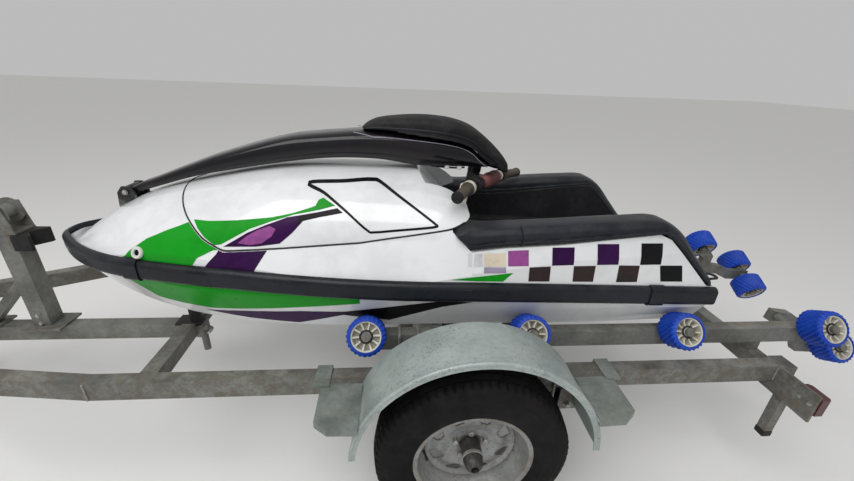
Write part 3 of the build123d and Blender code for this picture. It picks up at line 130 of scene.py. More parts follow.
def puff(piece, voxel, pressure, cap, seated=True):
    remesh = piece.modifiers.new("remesh", "REMESH")
    remesh.mode = "VOXEL"
    remesh.voxel_size = voxel
    settle(piece)
    # the pad swells, so it starts smaller, and its underside stays where it rests
    free = [not seated or v.normal.z > padCloth["undersideNormal"] for v in piece.data.vertices]
    inward = [v.normal * (cap * -padCloth["startSmaller"]) for v in piece.data.vertices]
    for vertex, step, loose in zip(piece.data.vertices, inward, free):
        if loose:
            vertex.co += step
    rest = [v.co.copy() for v in piece.data.vertices]
    cloth = piece.modifiers.new("cloth", "CLOTH")
    cloth.settings.quality = padCloth["quality"]
    cloth.settings.mass = padCloth["mass"]
    cloth.settings.tension_stiffness = padCloth["stretch"]
    cloth.settings.compression_stiffness = padCloth["stretch"]
    cloth.settings.shear_stiffness = padCloth["shear"]
    cloth.settings.bending_stiffness = padCloth["bending"]
    cloth.settings.use_pressure = True
    cloth.settings.uniform_pressure_force = pressure
    cloth.settings.effector_weights.gravity = 0.0
    cloth.point_cache.frame_start = 1
    cloth.point_cache.frame_end = padCloth["frames"]
    for frameNumber in range(1, padCloth["frames"] + 1):
        scene.frame_set(frameNumber)
    graph = bpy.context.evaluated_depsgraph_get()
    blown = [v.co.copy() for v in piece.evaluated_get(graph).data.vertices]
    piece.modifiers.clear()
    scene.frame_set(1)
    for vertex, start, end, loose in zip(piece.data.vertices, rest, blown, free):
        move = end - start if loose else Vector()
        if move.length > cap:
            move = move * (cap / move.length)
        vertex.co = start + move
    piece.data.polygons.foreach_set("use_smooth", [True] * len(piece.data.polygons))
    smoothing = piece.modifiers.new("smoothing", "SMOOTH")
    smoothing.factor = padCloth["smoothing"]
    smoothing.iterations = padCloth["smoothingTurns"]
    settle(piece)
    return subdivide(piece)


def ringFaces(ringCount, pointCount, closed=True, capStart=True, capEnd=True):
    faces = []
    for i in range(ringCount - 1):
        for j in range(pointCount if closed else pointCount - 1):
            a = i * pointCount + j
            b = i * pointCount + (j + 1) % pointCount
            faces.append((a, b, b + pointCount, a + pointCount))
    if closed and capStart:
        faces.append(tuple(range(pointCount))[::-1])
    if closed and capEnd:
        faces.append(tuple((ringCount - 1) * pointCount + j for j in range(pointCount)))
    return faces


def loftPiece(name, rings, materials, body=root, capStart=True, capEnd=True, smooth=True):
    verts = [p for ring in rings for p in ring]
    return addPiece(name, verts, ringFaces(len(rings), len(rings[0]), True, capStart, capEnd),
                    materials, body, smooth)


def axisPlace(origin, direction, spin=0.0):
    direction = Vector(direction).normalized()
    turn = direction.to_track_quat("Z", "Y").to_matrix().to_4x4()
    return Matrix.Translation(origin) @ turn @ Matrix.Rotation(spin, 4, "Z")


def latheMesh(profile, place, segments, verts, faces, closed=True):
    base = len(verts)
    count = len(profile)
    for k in range(segments):
        a = 2 * math.pi * k / segments
        for r, h in profile:
            verts.append(place @ Vector((r * math.cos(a), r * math.sin(a), h)))
    for k in range(segments):
        n = (k + 1) % segments
        for j in range(count if closed else count - 1):
            m = (j + 1) % count
            faces.append((base + k * count + j, base + n * count + j, base + n * count + m,
                          base + k * count + m))


def lathePiece(name, profile, place, materials, body=root, segments=48, closed=True, smooth=True):
    verts, faces = [], []
    latheMesh(profile, place, segments, verts, faces, closed)
    return addPiece(name, verts, faces, materials, body, smooth)


def tubeMesh(points, radius, verts, faces, sides=10, loop=False):
    base = len(verts)
    points = [Vector(p) for p in points]
    count = len(points)
    normal = None
    for i, p in enumerate(points):
        before = points[i - 1] if (i or loop) else p
        after = points[(i + 1) % count] if (i < count - 1 or loop) else p
        along = (after - before).normalized()
        if normal is None:
            normal = along.orthogonal().normalized()
        normal = (normal - along * normal.dot(along)).normalized()
        other = along.cross(normal)
        for s in range(sides):
            a = 2 * math.pi * s / sides
            verts.append(p + (normal * math.cos(a) + other * math.sin(a)) * radius)
    for i in range(count if loop else count - 1):
        n = (i + 1) % count
        for s in range(sides):
            t = (s + 1) % sides
            faces.append((base + i * sides + s, base + i * sides + t, base + n * sides + t,
                          base + n * sides + s))
    if not loop:
        faces.append(tuple(base + s for s in range(sides))[::-1])
        faces.append(tuple(base + (count - 1) * sides + s for s in range(sides)))


def tubePiece(name, points, radius, materials, body=root, sides=12, loop=False):
    verts, faces = [], []
    tubeMesh(points, radius, verts, faces, sides, loop)
    return addPiece(name, verts, faces, materials, body)


def curvePoints(points, steps=6, loop=False):      # Catmull-Rom through the points
    points = [Vector(p) for p in points]
    count = len(points)
    made = []
    for i in range(count if loop else count - 1):
        a = points[i - 1] if (i or loop) else points[0]
        b, c = points[i], points[(i + 1) % count]
        d = points[(i + 2) % count] if (i < count - 2 or loop) else points[-1]
        for s in range(steps):
            t = s / steps
            made.append(0.5 * (2 * b + (c - a) * t + (2 * a - 5 * b + 4 * c - d) * t ** 2
                               + (3 * b - a - 3 * c + d) * t ** 3))
    if not loop:
        made.append(points[-1])
    return made


def boltMesh(place, flats, height, verts, faces):   # hex head on a round washer
    washer = [(0.0001, 0), (flats * 0.68, 0), (flats * 0.68, height * 0.18), (0.0001, height * 0.18)]
    latheMesh(washer, place, 18, verts, faces)
    r = flats * 0.55
    head = [(0.0001, height * 0.18), (r, height * 0.18), (r, height * 0.88), (r * 0.8, height),
            (0.0001, height)]
    latheMesh(head, place, 6, verts, faces)


def boltPiece(name, places, flats, height, material, body=root):
    verts, faces = [], []
    for place in places:
        boltMesh(place, flats, height, verts, faces)
    return addPiece(name, verts, faces, material, body, smooth=False)


def blockMesh(centre, axes, size, verts, faces):
    base = len(verts)
    for sx in (-0.5, 0.5):
        for sy in (-0.5, 0.5):
            for sz in (-0.5, 0.5):
                corner = axes[0] * sx * size[0] + axes[1] * sy * size[1] + axes[2] * sz * size[2]
                verts.append(Vector(centre) + corner)
    for face in ((0, 1, 3, 2), (4, 6, 7, 5), (0, 4, 5, 1), (2, 3, 7, 6), (0, 2, 6, 4), (1, 5, 7, 3)):
        faces.append(tuple(base + i for i in face))


def blockPiece(name, centre, axes, size, material, body=root, bevel=0.003):
    verts, faces = [], []
    blockMesh(centre, axes, size, verts, faces)
    return soften(addPiece(name, verts, faces, material, body), bevel, 3)


straight = (Vector((1, 0, 0)), Vector((0, 1, 0)), Vector((0, 0, 1)))


def newGroup(name, inputs, outputs):
    group = bpy.data.node_groups.new(name, "ShaderNodeTree")
    for label, kind, value in inputs:
        socket = group.interface.new_socket(name=label, in_out="INPUT", socket_type=kind)
        socket.default_value = value
    for label, kind in outputs:
        group.interface.new_socket(name=label, in_out="OUTPUT", socket_type=kind)
    start = group.nodes.new("NodeGroupInput")
    end = group.nodes.new("NodeGroupOutput")
    return group, start.outputs, end.inputs


def addNode(tree, kind, **settings):
    node = tree.nodes.new(kind)
    for key, value in settings.items():
        setattr(node, key, value)
    return node


def feed(tree, target, source):
    if isinstance(source, bpy.types.NodeSocket):
        tree.links.new(source, target)
    else:
        target.default_value = source


def mathNode(tree, operation, *values, clamp=False):
    node = addNode(tree, "ShaderNodeMath", operation=operation, use_clamp=clamp)
    for socket, value in zip(node.inputs, values):
        feed(tree, socket, value)
    return node.outputs[0]


def rangeNode(tree, value, low, high, toLow=0.0, toHigh=1.0, kind="SMOOTHSTEP"):
    node = addNode(tree, "ShaderNodeMapRange", interpolation_type=kind)
    for socket, item in zip(node.inputs, (value, low, high, toLow, toHigh)):
        feed(tree, socket, item)
    return node.outputs[0]


def mixColour(tree, fac, a, b, blend="MIX"):
    node = addNode(tree, "ShaderNodeMix", data_type="RGBA", blend_type=blend)
    feed(tree, node.inputs[0], fac)
    feed(tree, node.inputs[6], a)
    feed(tree, node.inputs[7], b)
    return node.outputs[2]


def noiseNode(tree, vector, scale, detail=4.0, rough=0.55, distortion=0.0):
    node = addNode(tree, "ShaderNodeTexNoise")
    feed(tree, node.inputs["Vector"], vector)
    feed(tree, node.inputs["Scale"], scale)
    node.inputs["Detail"].default_value = detail
    node.inputs["Roughness"].default_value = rough
    node.inputs["Distortion"].default_value = distortion
    return node.outputs["Fac"]


def objectPoint(tree):
    return addNode(tree, "ShaderNodeTexCoord").outputs["Object"]


def stretched(tree, vector, factors):
    node = addNode(tree, "ShaderNodeMapping")
    feed(tree, node.inputs["Vector"], vector)
    node.inputs["Scale"].default_value = factors
    return node.outputs["Vector"]


# patches: broad, soft variation with finer break-up
patches, gIn, gOut = newGroup("patches", [("Scale", "NodeSocketFloat", 6.0),
                                          ("Contrast", "NodeSocketFloat", 0.5)],
                              [("Mask", "NodeSocketFloat")])
broad = noiseNode(patches, objectPoint(patches), gIn["Scale"], 5.0, 0.6)
fine = noiseNode(patches, objectPoint(patches), mathNode(patches, "MULTIPLY", gIn["Scale"], 7.0), 4.0, 0.6)
both = mathNode(patches, "ADD", mathNode(patches, "MULTIPLY", broad, 0.7),
                mathNode(patches, "MULTIPLY", fine, 0.3))
spread = mathNode(patches, "MULTIPLY", gIn["Contrast"], 0.35)
feed(patches, gOut["Mask"], rangeNode(patches, both, mathNode(patches, "SUBTRACT", 0.62, spread),
                                      mathNode(patches, "ADD", 0.42, spread)))

# edgeWear: mask along worn outer edges
edgeWear, gIn, gOut = newGroup("edgeWear", [("Amount", "NodeSocketFloat", 0.5),
                                            ("Scale", "NodeSocketFloat", 30.0)],
                               [("Mask", "NodeSocketFloat")])
point = addNode(edgeWear, "ShaderNodeNewGeometry").outputs["Pointiness"]
edge = rangeNode(edgeWear, point, 0.515, 0.58)
broken = rangeNode(edgeWear, noiseNode(edgeWear, objectPoint(edgeWear), gIn["Scale"], 6.0, 0.7), 0.42, 0.58)
feed(edgeWear, gOut["Mask"], mathNode(edgeWear, "MULTIPLY", mathNode(edgeWear, "MULTIPLY", edge, broken),
                                      gIn["Amount"], clamp=True))

# dustFilm: settled dust on faces that look up
dustFilm, gIn, gOut = newGroup("dustFilm", [("Amount", "NodeSocketFloat", 0.3),
                                            ("Scale", "NodeSocketFloat", 9.0)],
                               [("Mask", "NodeSocketFloat")])
normal = addNode(dustFilm, "ShaderNodeNewGeometry").outputs["Normal"]
split = addNode(dustFilm, "ShaderNodeSeparateXYZ")
feed(dustFilm, split.inputs[0], normal)
upward = rangeNode(dustFilm, split.outputs["Z"], -0.2, 1.0, 0.12, 1.0)
cloud = rangeNode(dustFilm, noiseNode(dustFilm, objectPoint(dustFilm), gIn["Scale"], 7.0, 0.68), 0.35, 0.75)
feed(dustFilm, gOut["Mask"], mathNode(dustFilm, "MULTIPLY", mathNode(dustFilm, "MULTIPLY", upward, cloud),
                                      gIn["Amount"], clamp=True))

# fineGrain: moulded or cast surface height
fineGrain, gIn, gOut = newGroup("fineGrain", [("Scale", "NodeSocketFloat", 400.0)],
                                [("Height", "NodeSocketFloat")])
pebble = addNode(fineGrain, "ShaderNodeTexVoronoi")
feed(fineGrain, pebble.inputs["Vector"], objectPoint(fineGrain))
feed(fineGrain, pebble.inputs["Scale"], gIn["Scale"])
soft = noiseNode(fineGrain, objectPoint(fineGrain), gIn["Scale"], 3.0)
feed(fineGrain, gOut["Height"], mathNode(fineGrain, "ADD",
                                         mathNode(fineGrain, "MULTIPLY", pebble.outputs[0], 0.6),
                                         mathNode(fineGrain, "MULTIPLY", soft, 0.5)))

# scuffs: long thin scratches along one way
scuffs, gIn, gOut = newGroup("scuffs", [("Amount", "NodeSocketFloat", 0.4),
                                        ("Scale", "NodeSocketFloat", 14.0)],
                             [("Mask", "NodeSocketFloat")])
lines = noiseNode(scuffs, stretched(scuffs, objectPoint(scuffs), (1.0, 9.0, 9.0)),
                  gIn["Scale"], 8.0, 0.75, 0.4)
feed(scuffs, gOut["Mask"], mathNode(scuffs, "MULTIPLY", rangeNode(scuffs, lines, 0.60, 0.68), gIn["Amount"],
                                    clamp=True))

# specks: fine dark pitting and dirt on bare zinc
specks, gIn, gOut = newGroup("specks", [("Amount", "NodeSocketFloat", 0.5),
                                        ("Scale", "NodeSocketFloat", 160.0)],
                             [("Mask", "NodeSocketFloat")])
small = rangeNode(specks, noiseNode(specks, objectPoint(specks), gIn["Scale"], 5.0, 0.78), 0.53, 0.64)
area = rangeNode(specks, noiseNode(specks, objectPoint(specks), 7.0, 4.0, 0.6), 0.35, 0.65, 0.25, 1.0)
feed(specks, gOut["Mask"], mathNode(specks, "MULTIPLY", mathNode(specks, "MULTIPLY", small, area),
                                    gIn["Amount"], clamp=True))
print("shader groups built")


def placeGroup(tree, group, **values):
    node = addNode(tree, "ShaderNodeGroup")
    node.node_tree = group
    for key, value in values.items():
        feed(tree, node.inputs[key], value)
    return node.outputs[0]


def colour(values):
    return (*values, 1.0) if len(values) == 3 else tuple(values)


# One surface finish: base colour with patches, scuffs, worn edges and dust, roughness that follows them
def finish(name, look):
    material = bpy.data.materials.new(name)
    material.use_nodes = True
    tree = material.node_tree
    shader = tree.nodes["Principled BSDF"]
    base = colour(look["base"])
    tone = mixColour(tree, placeGroup(tree, patches, Scale=look.get("patchScale", 6.0),
                                      Contrast=look.get("patchContrast", 0.5)), base,
                     colour(look.get("second", base)))
    rough = rangeNode(tree, noiseNode(tree, objectPoint(tree), look.get("roughScale", 18.0), 5.0), 0.3, 0.7,
                      look["rough"][0], look["rough"][1], "LINEAR")
    if look.get("scuff"):
        mask = placeGroup(tree, scuffs, Amount=look["scuff"], Scale=look.get("scuffScale", 14.0))
        tone = mixColour(tree, mask, tone, colour(look["scuffColour"]))
        rough = mathNode(tree, "ADD", rough, mathNode(tree, "MULTIPLY", mask, 0.25), clamp=True)
    if look.get("wear"):
        mask = placeGroup(tree, edgeWear, Amount=look["wear"])
        tone = mixColour(tree, mask, tone, colour(look["wearColour"]))
    if look.get("speck"):
        mask = placeGroup(tree, specks, Amount=look["speck"], Scale=look.get("speckScale", 160.0))
        tone = mixColour(tree, mask, tone, colour(look.get("speckColour", (0.09, 0.085, 0.07))))
    if look.get("dust"):
        mask = placeGroup(tree, dustFilm, Amount=look["dust"])
        tone = mixColour(tree, mask, tone, colour(look.get("dustColour", (0.36, 0.33, 0.28))))
        rough = mathNode(tree, "ADD", rough, mathNode(tree, "MULTIPLY", mask, 0.35), clamp=True)
    feed(tree, shader.inputs["Base Color"], tone)
    feed(tree, shader.inputs["Roughness"], rough)
    shader.inputs["Metallic"].default_value = look.get("metal", 0.0)
    shader.inputs["Specular IOR Level"].default_value = look.get("specular", 0.5)
    shader.inputs["Coat Weight"].default_value = look.get("coat", 0.0)
    shader.inputs["Coat Roughness"].default_value = look.get("coatRough", 0.06)
    if look.get("sheen"):
        shader.inputs["Sheen Weight"].default_value = look["sheen"]
    if look.get("grain"):
        bump = addNode(tree, "ShaderNodeBump")
        bump.inputs["Strength"].default_value = look["grain"]
        bump.inputs["Distance"].default_value = look.get("grainDepth", 0.0006)
        feed(tree, bump.inputs["Height"], placeGroup(tree, fineGrain, Scale=look.get("grainScale", 400.0)))
        feed(tree, shader.inputs["Normal"], bump.outputs[0])
    return material


looks = {
    "whiteGel": dict(base=(0.80, 0.81, 0.82), second=(0.72, 0.73, 0.74), patchScale=3.0, rough=(0.12, 0.24),
                     coat=0.5, scuff=0.12, scuffColour=(0.55, 0.54, 0.52), dust=0.10),
    "greenFilm": dict(base=(0.006, 0.30, 0.012), second=(0.005, 0.25, 0.010), patchScale=4.0,
                      rough=(0.26, 0.40), specular=0.12, scuff=0.10, scuffColour=(0.06, 0.32, 0.06),
                      dust=0.02),
    "purpleFilm": dict(base=(0.034, 0.004, 0.058), second=(0.022, 0.003, 0.040), patchScale=4.0,
                       rough=(0.26, 0.40), specular=0.12, scuff=0.10, scuffColour=(0.09, 0.05, 0.12),
                       dust=0.02),
    "pinkFilm": dict(base=(0.30, 0.07, 0.27), second=(0.20, 0.05, 0.20), patchScale=9.0, rough=(0.26, 0.40),
                     specular=0.22, dust=0.05),
    "creamFilm": dict(base=(0.70, 0.62, 0.48), second=(0.62, 0.54, 0.42), patchScale=9.0, rough=(0.26, 0.40),
                      specular=0.25, dust=0.06),
    "mauveFilm": dict(base=(0.34, 0.29, 0.40), second=(0.28, 0.24, 0.34), patchScale=9.0, rough=(0.26, 0.40),
                      specular=0.25, dust=0.06),
    "fadeFilm": dict(base=(0.50, 0.50, 0.54), second=(0.62, 0.62, 0.64), patchScale=9.0, rough=(0.26, 0.40),
                     specular=0.25, dust=0.06),
    "brownFilm": dict(base=(0.030, 0.016, 0.016), second=(0.020, 0.012, 0.014), patchScale=9.0,
                      rough=(0.26, 0.40), specular=0.2, dust=0.05),
    "blackFilm": dict(base=(0.004, 0.004, 0.005), second=(0.007, 0.006, 0.008), rough=(0.26, 0.40),
                      specular=0.12, scuff=0.12, scuffColour=(0.08, 0.08, 0.08), dust=0.04),
    "bumperRubber": dict(base=(0.006, 0.008, 0.012), second=(0.011, 0.013, 0.019), patchScale=5.0,
                         rough=(0.24, 0.42), specular=0.25, scuff=0.3, scuffColour=(0.04, 0.05, 0.06),
                         scuffScale=20.0, dust=0.06, grain=0.25, grainScale=260.0),
    "blackVinyl": dict(base=(0.008, 0.010, 0.015), second=(0.014, 0.017, 0.024), patchScale=7.0,
                       rough=(0.30, 0.48), specular=0.32, dust=0.07, grain=0.55, grainScale=520.0,
                       grainDepth=0.0007),
    "matFoam": dict(base=(0.010, 0.010, 0.013), second=(0.018, 0.018, 0.021), rough=(0.65, 0.85),
                    specular=0.2, dust=0.10, grain=0.5, grainScale=650.0),
    "poleGloss": dict(base=(0.003, 0.003, 0.005), second=(0.007, 0.005, 0.007), rough=(0.10, 0.24),
                      specular=0.35, coat=0.10, scuff=0.20, scuffColour=(0.07, 0.025, 0.018), scuffScale=9.0,
                      dust=0.02),
    "padFoam": dict(base=(0.008, 0.008, 0.010), second=(0.016, 0.016, 0.018), rough=(0.60, 0.80),
                    specular=0.22, dust=0.10, grain=0.6, grainScale=420.0, grainDepth=0.0008),
    "padFaded": dict(base=(0.26, 0.085, 0.080), second=(0.10, 0.050, 0.050), patchScale=22.0,
                     patchContrast=0.9, rough=(0.6, 0.8), specular=0.25, dust=0.15, grain=0.5,
                     grainScale=420.0),
    "barMetal": dict(base=(0.030, 0.030, 0.033), second=(0.055, 0.055, 0.055), rough=(0.30, 0.5), metal=0.5,
                     wear=0.6, wearColour=(0.30, 0.30, 0.29), grain=0.15),
    "gripRubber": dict(base=(0.075, 0.060, 0.046), second=(0.040, 0.034, 0.028), rough=(0.60, 0.8),
                       specular=0.25, dust=0.2, grain=0.4, grainScale=700.0),
    "gripEnd": dict(base=(0.010, 0.010, 0.011), second=(0.018, 0.018, 0.019), rough=(0.5, 0.7), specular=0.25,
                    grain=0.3),
    "buttonGrey": dict(base=(0.20, 0.21, 0.22), second=(0.15, 0.16, 0.17), rough=(0.3, 0.45), grain=0.1),
    "controlPlastic": dict(base=(0.66, 0.62, 0.53), second=(0.54, 0.50, 0.42), rough=(0.35, 0.55), grain=0.2,
                           dust=0.2),
    "redPlastic": dict(base=(0.40, 0.02, 0.02), second=(0.30, 0.02, 0.02), rough=(0.3, 0.5), grain=0.15),
    "castIron": dict(base=(0.06, 0.06, 0.065), second=(0.10, 0.09, 0.085), rough=(0.5, 0.7), metal=0.5,
                     grain=0.6, grainScale=300.0),
    "pumpMetal": dict(base=(0.30, 0.31, 0.32), second=(0.22, 0.23, 0.24), rough=(0.32, 0.55), metal=0.75,
                      grain=0.25, scuff=0.3, scuffColour=(0.45, 0.45, 0.45)),
    "bladeSteel": dict(base=(0.50, 0.50, 0.49), second=(0.42, 0.42, 0.41), rough=(0.22, 0.4), metal=0.9,
                       scuff=0.4, scuffColour=(0.65, 0.65, 0.64)),
    "fittingPlastic": dict(base=(0.70, 0.70, 0.68), second=(0.60, 0.60, 0.57), rough=(0.35, 0.5), dust=0.1),
    "zinc": dict(base=(0.125, 0.130, 0.118), second=(0.245, 0.252, 0.232), patchScale=9.0, patchContrast=0.8,
                 rough=(0.42, 0.68), metal=0.3, scuff=0.35, scuffColour=(0.46, 0.46, 0.42), scuffScale=22.0,
                 wear=0.5, wearColour=(0.11, 0.075, 0.05), speck=0.55, speckScale=120.0, dust=0.25,
                 dustColour=(0.40, 0.38, 0.31), grain=0.2, grainScale=180.0),
    "stepZinc": dict(base=(0.125, 0.145, 0.132), second=(0.26, 0.29, 0.27), patchScale=10.0,
                     patchContrast=0.9, rough=(0.40, 0.62), metal=0.25, scuff=0.35,
                     scuffColour=(0.42, 0.45, 0.42), scuffScale=12.0, speck=0.7, speckScale=110.0, dust=0.2,
                     dustColour=(0.36, 0.34, 0.28), grain=0.2, grainScale=160.0),
    "fenderZinc": dict(base=(0.27, 0.32, 0.312), second=(0.44, 0.49, 0.475), patchScale=8.0,
                       patchContrast=0.9, rough=(0.36, 0.58), metal=0.25, scuff=0.35,
                       scuffColour=(0.60, 0.62, 0.57), scuffScale=9.0, speck=0.75, speckScale=110.0,
                       dust=0.15, dustColour=(0.50, 0.49, 0.41), grain=0.2, grainScale=160.0),
    "capRed": dict(base=(0.085, 0.005, 0.007), second=(0.06, 0.006, 0.008), rough=(0.18, 0.34), coat=0.15,
                   dust=0.12),
    "blackRubber": dict(base=(0.013, 0.013, 0.014), second=(0.024, 0.023, 0.022), rough=(0.5, 0.75),
                        specular=0.28, dust=0.15, grain=0.35, grainScale=300.0),
    "rimPaint": dict(base=(0.30, 0.31, 0.31), second=(0.22, 0.22, 0.21), patchScale=9.0, rough=(0.34, 0.55),
                     metal=0.3, scuff=0.25, scuffColour=(0.56, 0.56, 0.53), wear=0.6,
                     wearColour=(0.16, 0.10, 0.06), speck=0.6, speckScale=90.0, dust=0.15),
    "tyreRubber": dict(base=(0.005, 0.005, 0.006), second=(0.010, 0.009, 0.010), rough=(0.62, 0.85),
                       specular=0.14, dust=0.06, dustColour=(0.14, 0.125, 0.11), grain=0.4, grainScale=420.0),
    "rollerBlue": dict(base=(0.003, 0.050, 0.42), second=(0.004, 0.065, 0.50), rough=(0.38, 0.58),
                       specular=0.3, dust=0.10, scuff=0.25, scuffColour=(0.07, 0.15, 0.46), grain=0.2),
    "hubCream": dict(base=(0.66, 0.64, 0.56), second=(0.54, 0.51, 0.42), rough=(0.4, 0.6), dust=0.25,
                     speck=0.3),
    "springBlack": dict(base=(0.025, 0.024, 0.023), second=(0.08, 0.045, 0.025), patchScale=14.0,
                        rough=(0.5, 0.75), metal=0.3, grain=0.3),
    "boltZinc": dict(base=(0.42, 0.42, 0.40), second=(0.28, 0.26, 0.22), patchScale=30.0, rough=(0.32, 0.5),
                     metal=0.65),
    "greaseCap": dict(base=(0.050, 0.050, 0.048), second=(0.11, 0.105, 0.095), patchScale=22.0,
                      rough=(0.35, 0.55), metal=0.6, grain=0.2, speck=0.4, speckScale=220.0),
    "weldGrey": dict(base=(0.20, 0.20, 0.19), second=(0.30, 0.29, 0.27), rough=(0.45, 0.6), metal=0.5,
                     grain=0.2, speck=0.4),
    # pale colour painted as the highlight along the pole's top edge
    "edgeHighlightPale": dict(base=(0.30, 0.28, 0.36), second=(0.20, 0.19, 0.25), patchScale=20.0, rough=(0.3, 0.5)),
    # near black: painted shade inside the drain holes, and the dark bolster seam lines
    "holeShadeAndSeamBlack": dict(base=(0.004, 0.004, 0.005), second=(0.007, 0.007, 0.008), rough=(0.5, 0.6),
                     specular=0.1),
}
made = {name: finish(name, look) for name, look in looks.items()}
print("materials built:", len(made))

finishes = {
    "deck": "whiteGel", "hood": "whiteGel", "hull": "whiteGel", "bumper": "bumperRubber",
    "bolster_left": "blackVinyl", "bolster_right": "blackVinyl", "tray_mat": "matFoam",
            "pole_bracket": "barMetal",
    "engine": "castIron", "pump_housing": "pumpMetal", "intake_grate": "pumpMetal", "ride_plate": "pumpMetal",
    "drain_rings": "fittingPlastic", "stern_loop": "blackRubber", "tail_lamps": "capRed",
            "keel_rest": "blackRubber",
    "leaf_springs": "springBlack", "step_plates": "stepZinc", "fender_left": "fenderZinc",
            "fender_right": "fenderZinc",
    "bow_stop": "blackRubber", "handle_pole": "poleGloss", "pole_pad": "padFoam", "handlebar": "barMetal",
    "hand_grips": "gripRubber", "bar_controls": "controlPlastic", "steering_nozzle": "pumpMetal",
    "impeller": "bladeSteel", "rim_left": "rimPaint", "rim_right": "rimPaint", "tyre_left": "tyreRubber",
    "tyre_right": "tyreRubber", "jockey_wheel": "blackRubber",
}
for name, node in nodes.items():
    wanted = finishes.get(name, "rollerBlue" if name.startswith("roller_") and "beam" not in name else "zinc")
    node.data.materials.clear()
    node.data.materials.append(made[wanted])
print("CAD nodes finished:", len(nodes))


def nodeTree(*names):               # search tree over CAD nodes in frame coordinates
    verts, faces = [], []
    for name in names:
        node = nodes[name]
        base = len(verts)
        verts += [node.matrix_world @ v.co for v in node.data.vertices]
        faces += [tuple(base + i for i in p.vertices) for p in node.data.polygons]
    return BVHTree.FromPolygons(verts, faces)


def sideRay(x, z, side):            # from beside the craft towards its middle plane
    return Vector((x, side * 1.2, z)), Vector((0, -side, 0)), 1.15


def onFlank(tree, x, z, side, lift):    # three close rays, so none slips through a crack between faces
    best = None
    for shift in (0.0, 0.00008, -0.00008):
        hit, normal = tree.ray_cast(*sideRay(x + shift, z + shift, side))[:2]
        if hit is not None and (best is None or hit.y * side > best[0].y * side + 0.0005):
            best = (hit, normal)
    if best is None:
        best = tree.find_nearest(Vector((x, side * 0.35, z)))[:2]
    hit, normal = best
    if normal.y * side < 0:
        normal = -normal
    return hit + normal * lift


def deckEdge(x, side):              # the deck's upper edge under the hood's joint, just inside it
    z = 0.800
    while z < 1.0:
        ray = sideRay(x, z, side)
        deck, hood = deckTree.ray_cast(*ray)[0], hoodTree.ray_cast(*ray)[0]
        if deck is None or deck.y * side < 0.1 or (hood is not None and hood.y * side > deck.y * side):
            return z - 0.0012
        z += 0.0005
    return z


def cutGrid(outline, cell):         # side-view polygon cut into a grid of small faces
    shape = bmesh.new()
    shape.faces.new([shape.verts.new((x, 0, z)) for x, z in outline])
    for axis, normal in ((0, (1, 0, 0)), (2, (0, 0, 1))):
        low = min(v.co[axis] for v in shape.verts)
        high = max(v.co[axis] for v in shape.verts)
        step = cell if axis == 0 else cell * 0.4
        for k in range(1, int((high - low) / step) + 1):
            place = [0, 0, 0]
            place[axis] = low + k * step
            bmesh.ops.bisect_plane(shape, geom=shape.verts[:] + shape.edges[:] + shape.faces[:],
                                   plane_co=place, plane_no=normal)
    shape.verts.index_update()
    verts = [(v.co.x, v.co.z) for v in shape.verts]
    faces = [tuple(v.index for v in f.verts) for f in shape.faces]
    shape.free()
    return verts, faces


def filmPiece(name, outline, tree, material, lift, cell):
    flat, cells = cutGrid(outline, cell)
    verts, faces = [], []
    for side in (1, -1):
        base = len(verts)
        verts += [onFlank(tree, x, z, side, lift) for x, z in flat]
        faces += [tuple(base + i for i in face) for face in cells]
    return addPiece(name, verts, faces, material)


hoodTree = nodeTree("hood")
deckTree = nodeTree("deck")
hullTree = nodeTree("hull")

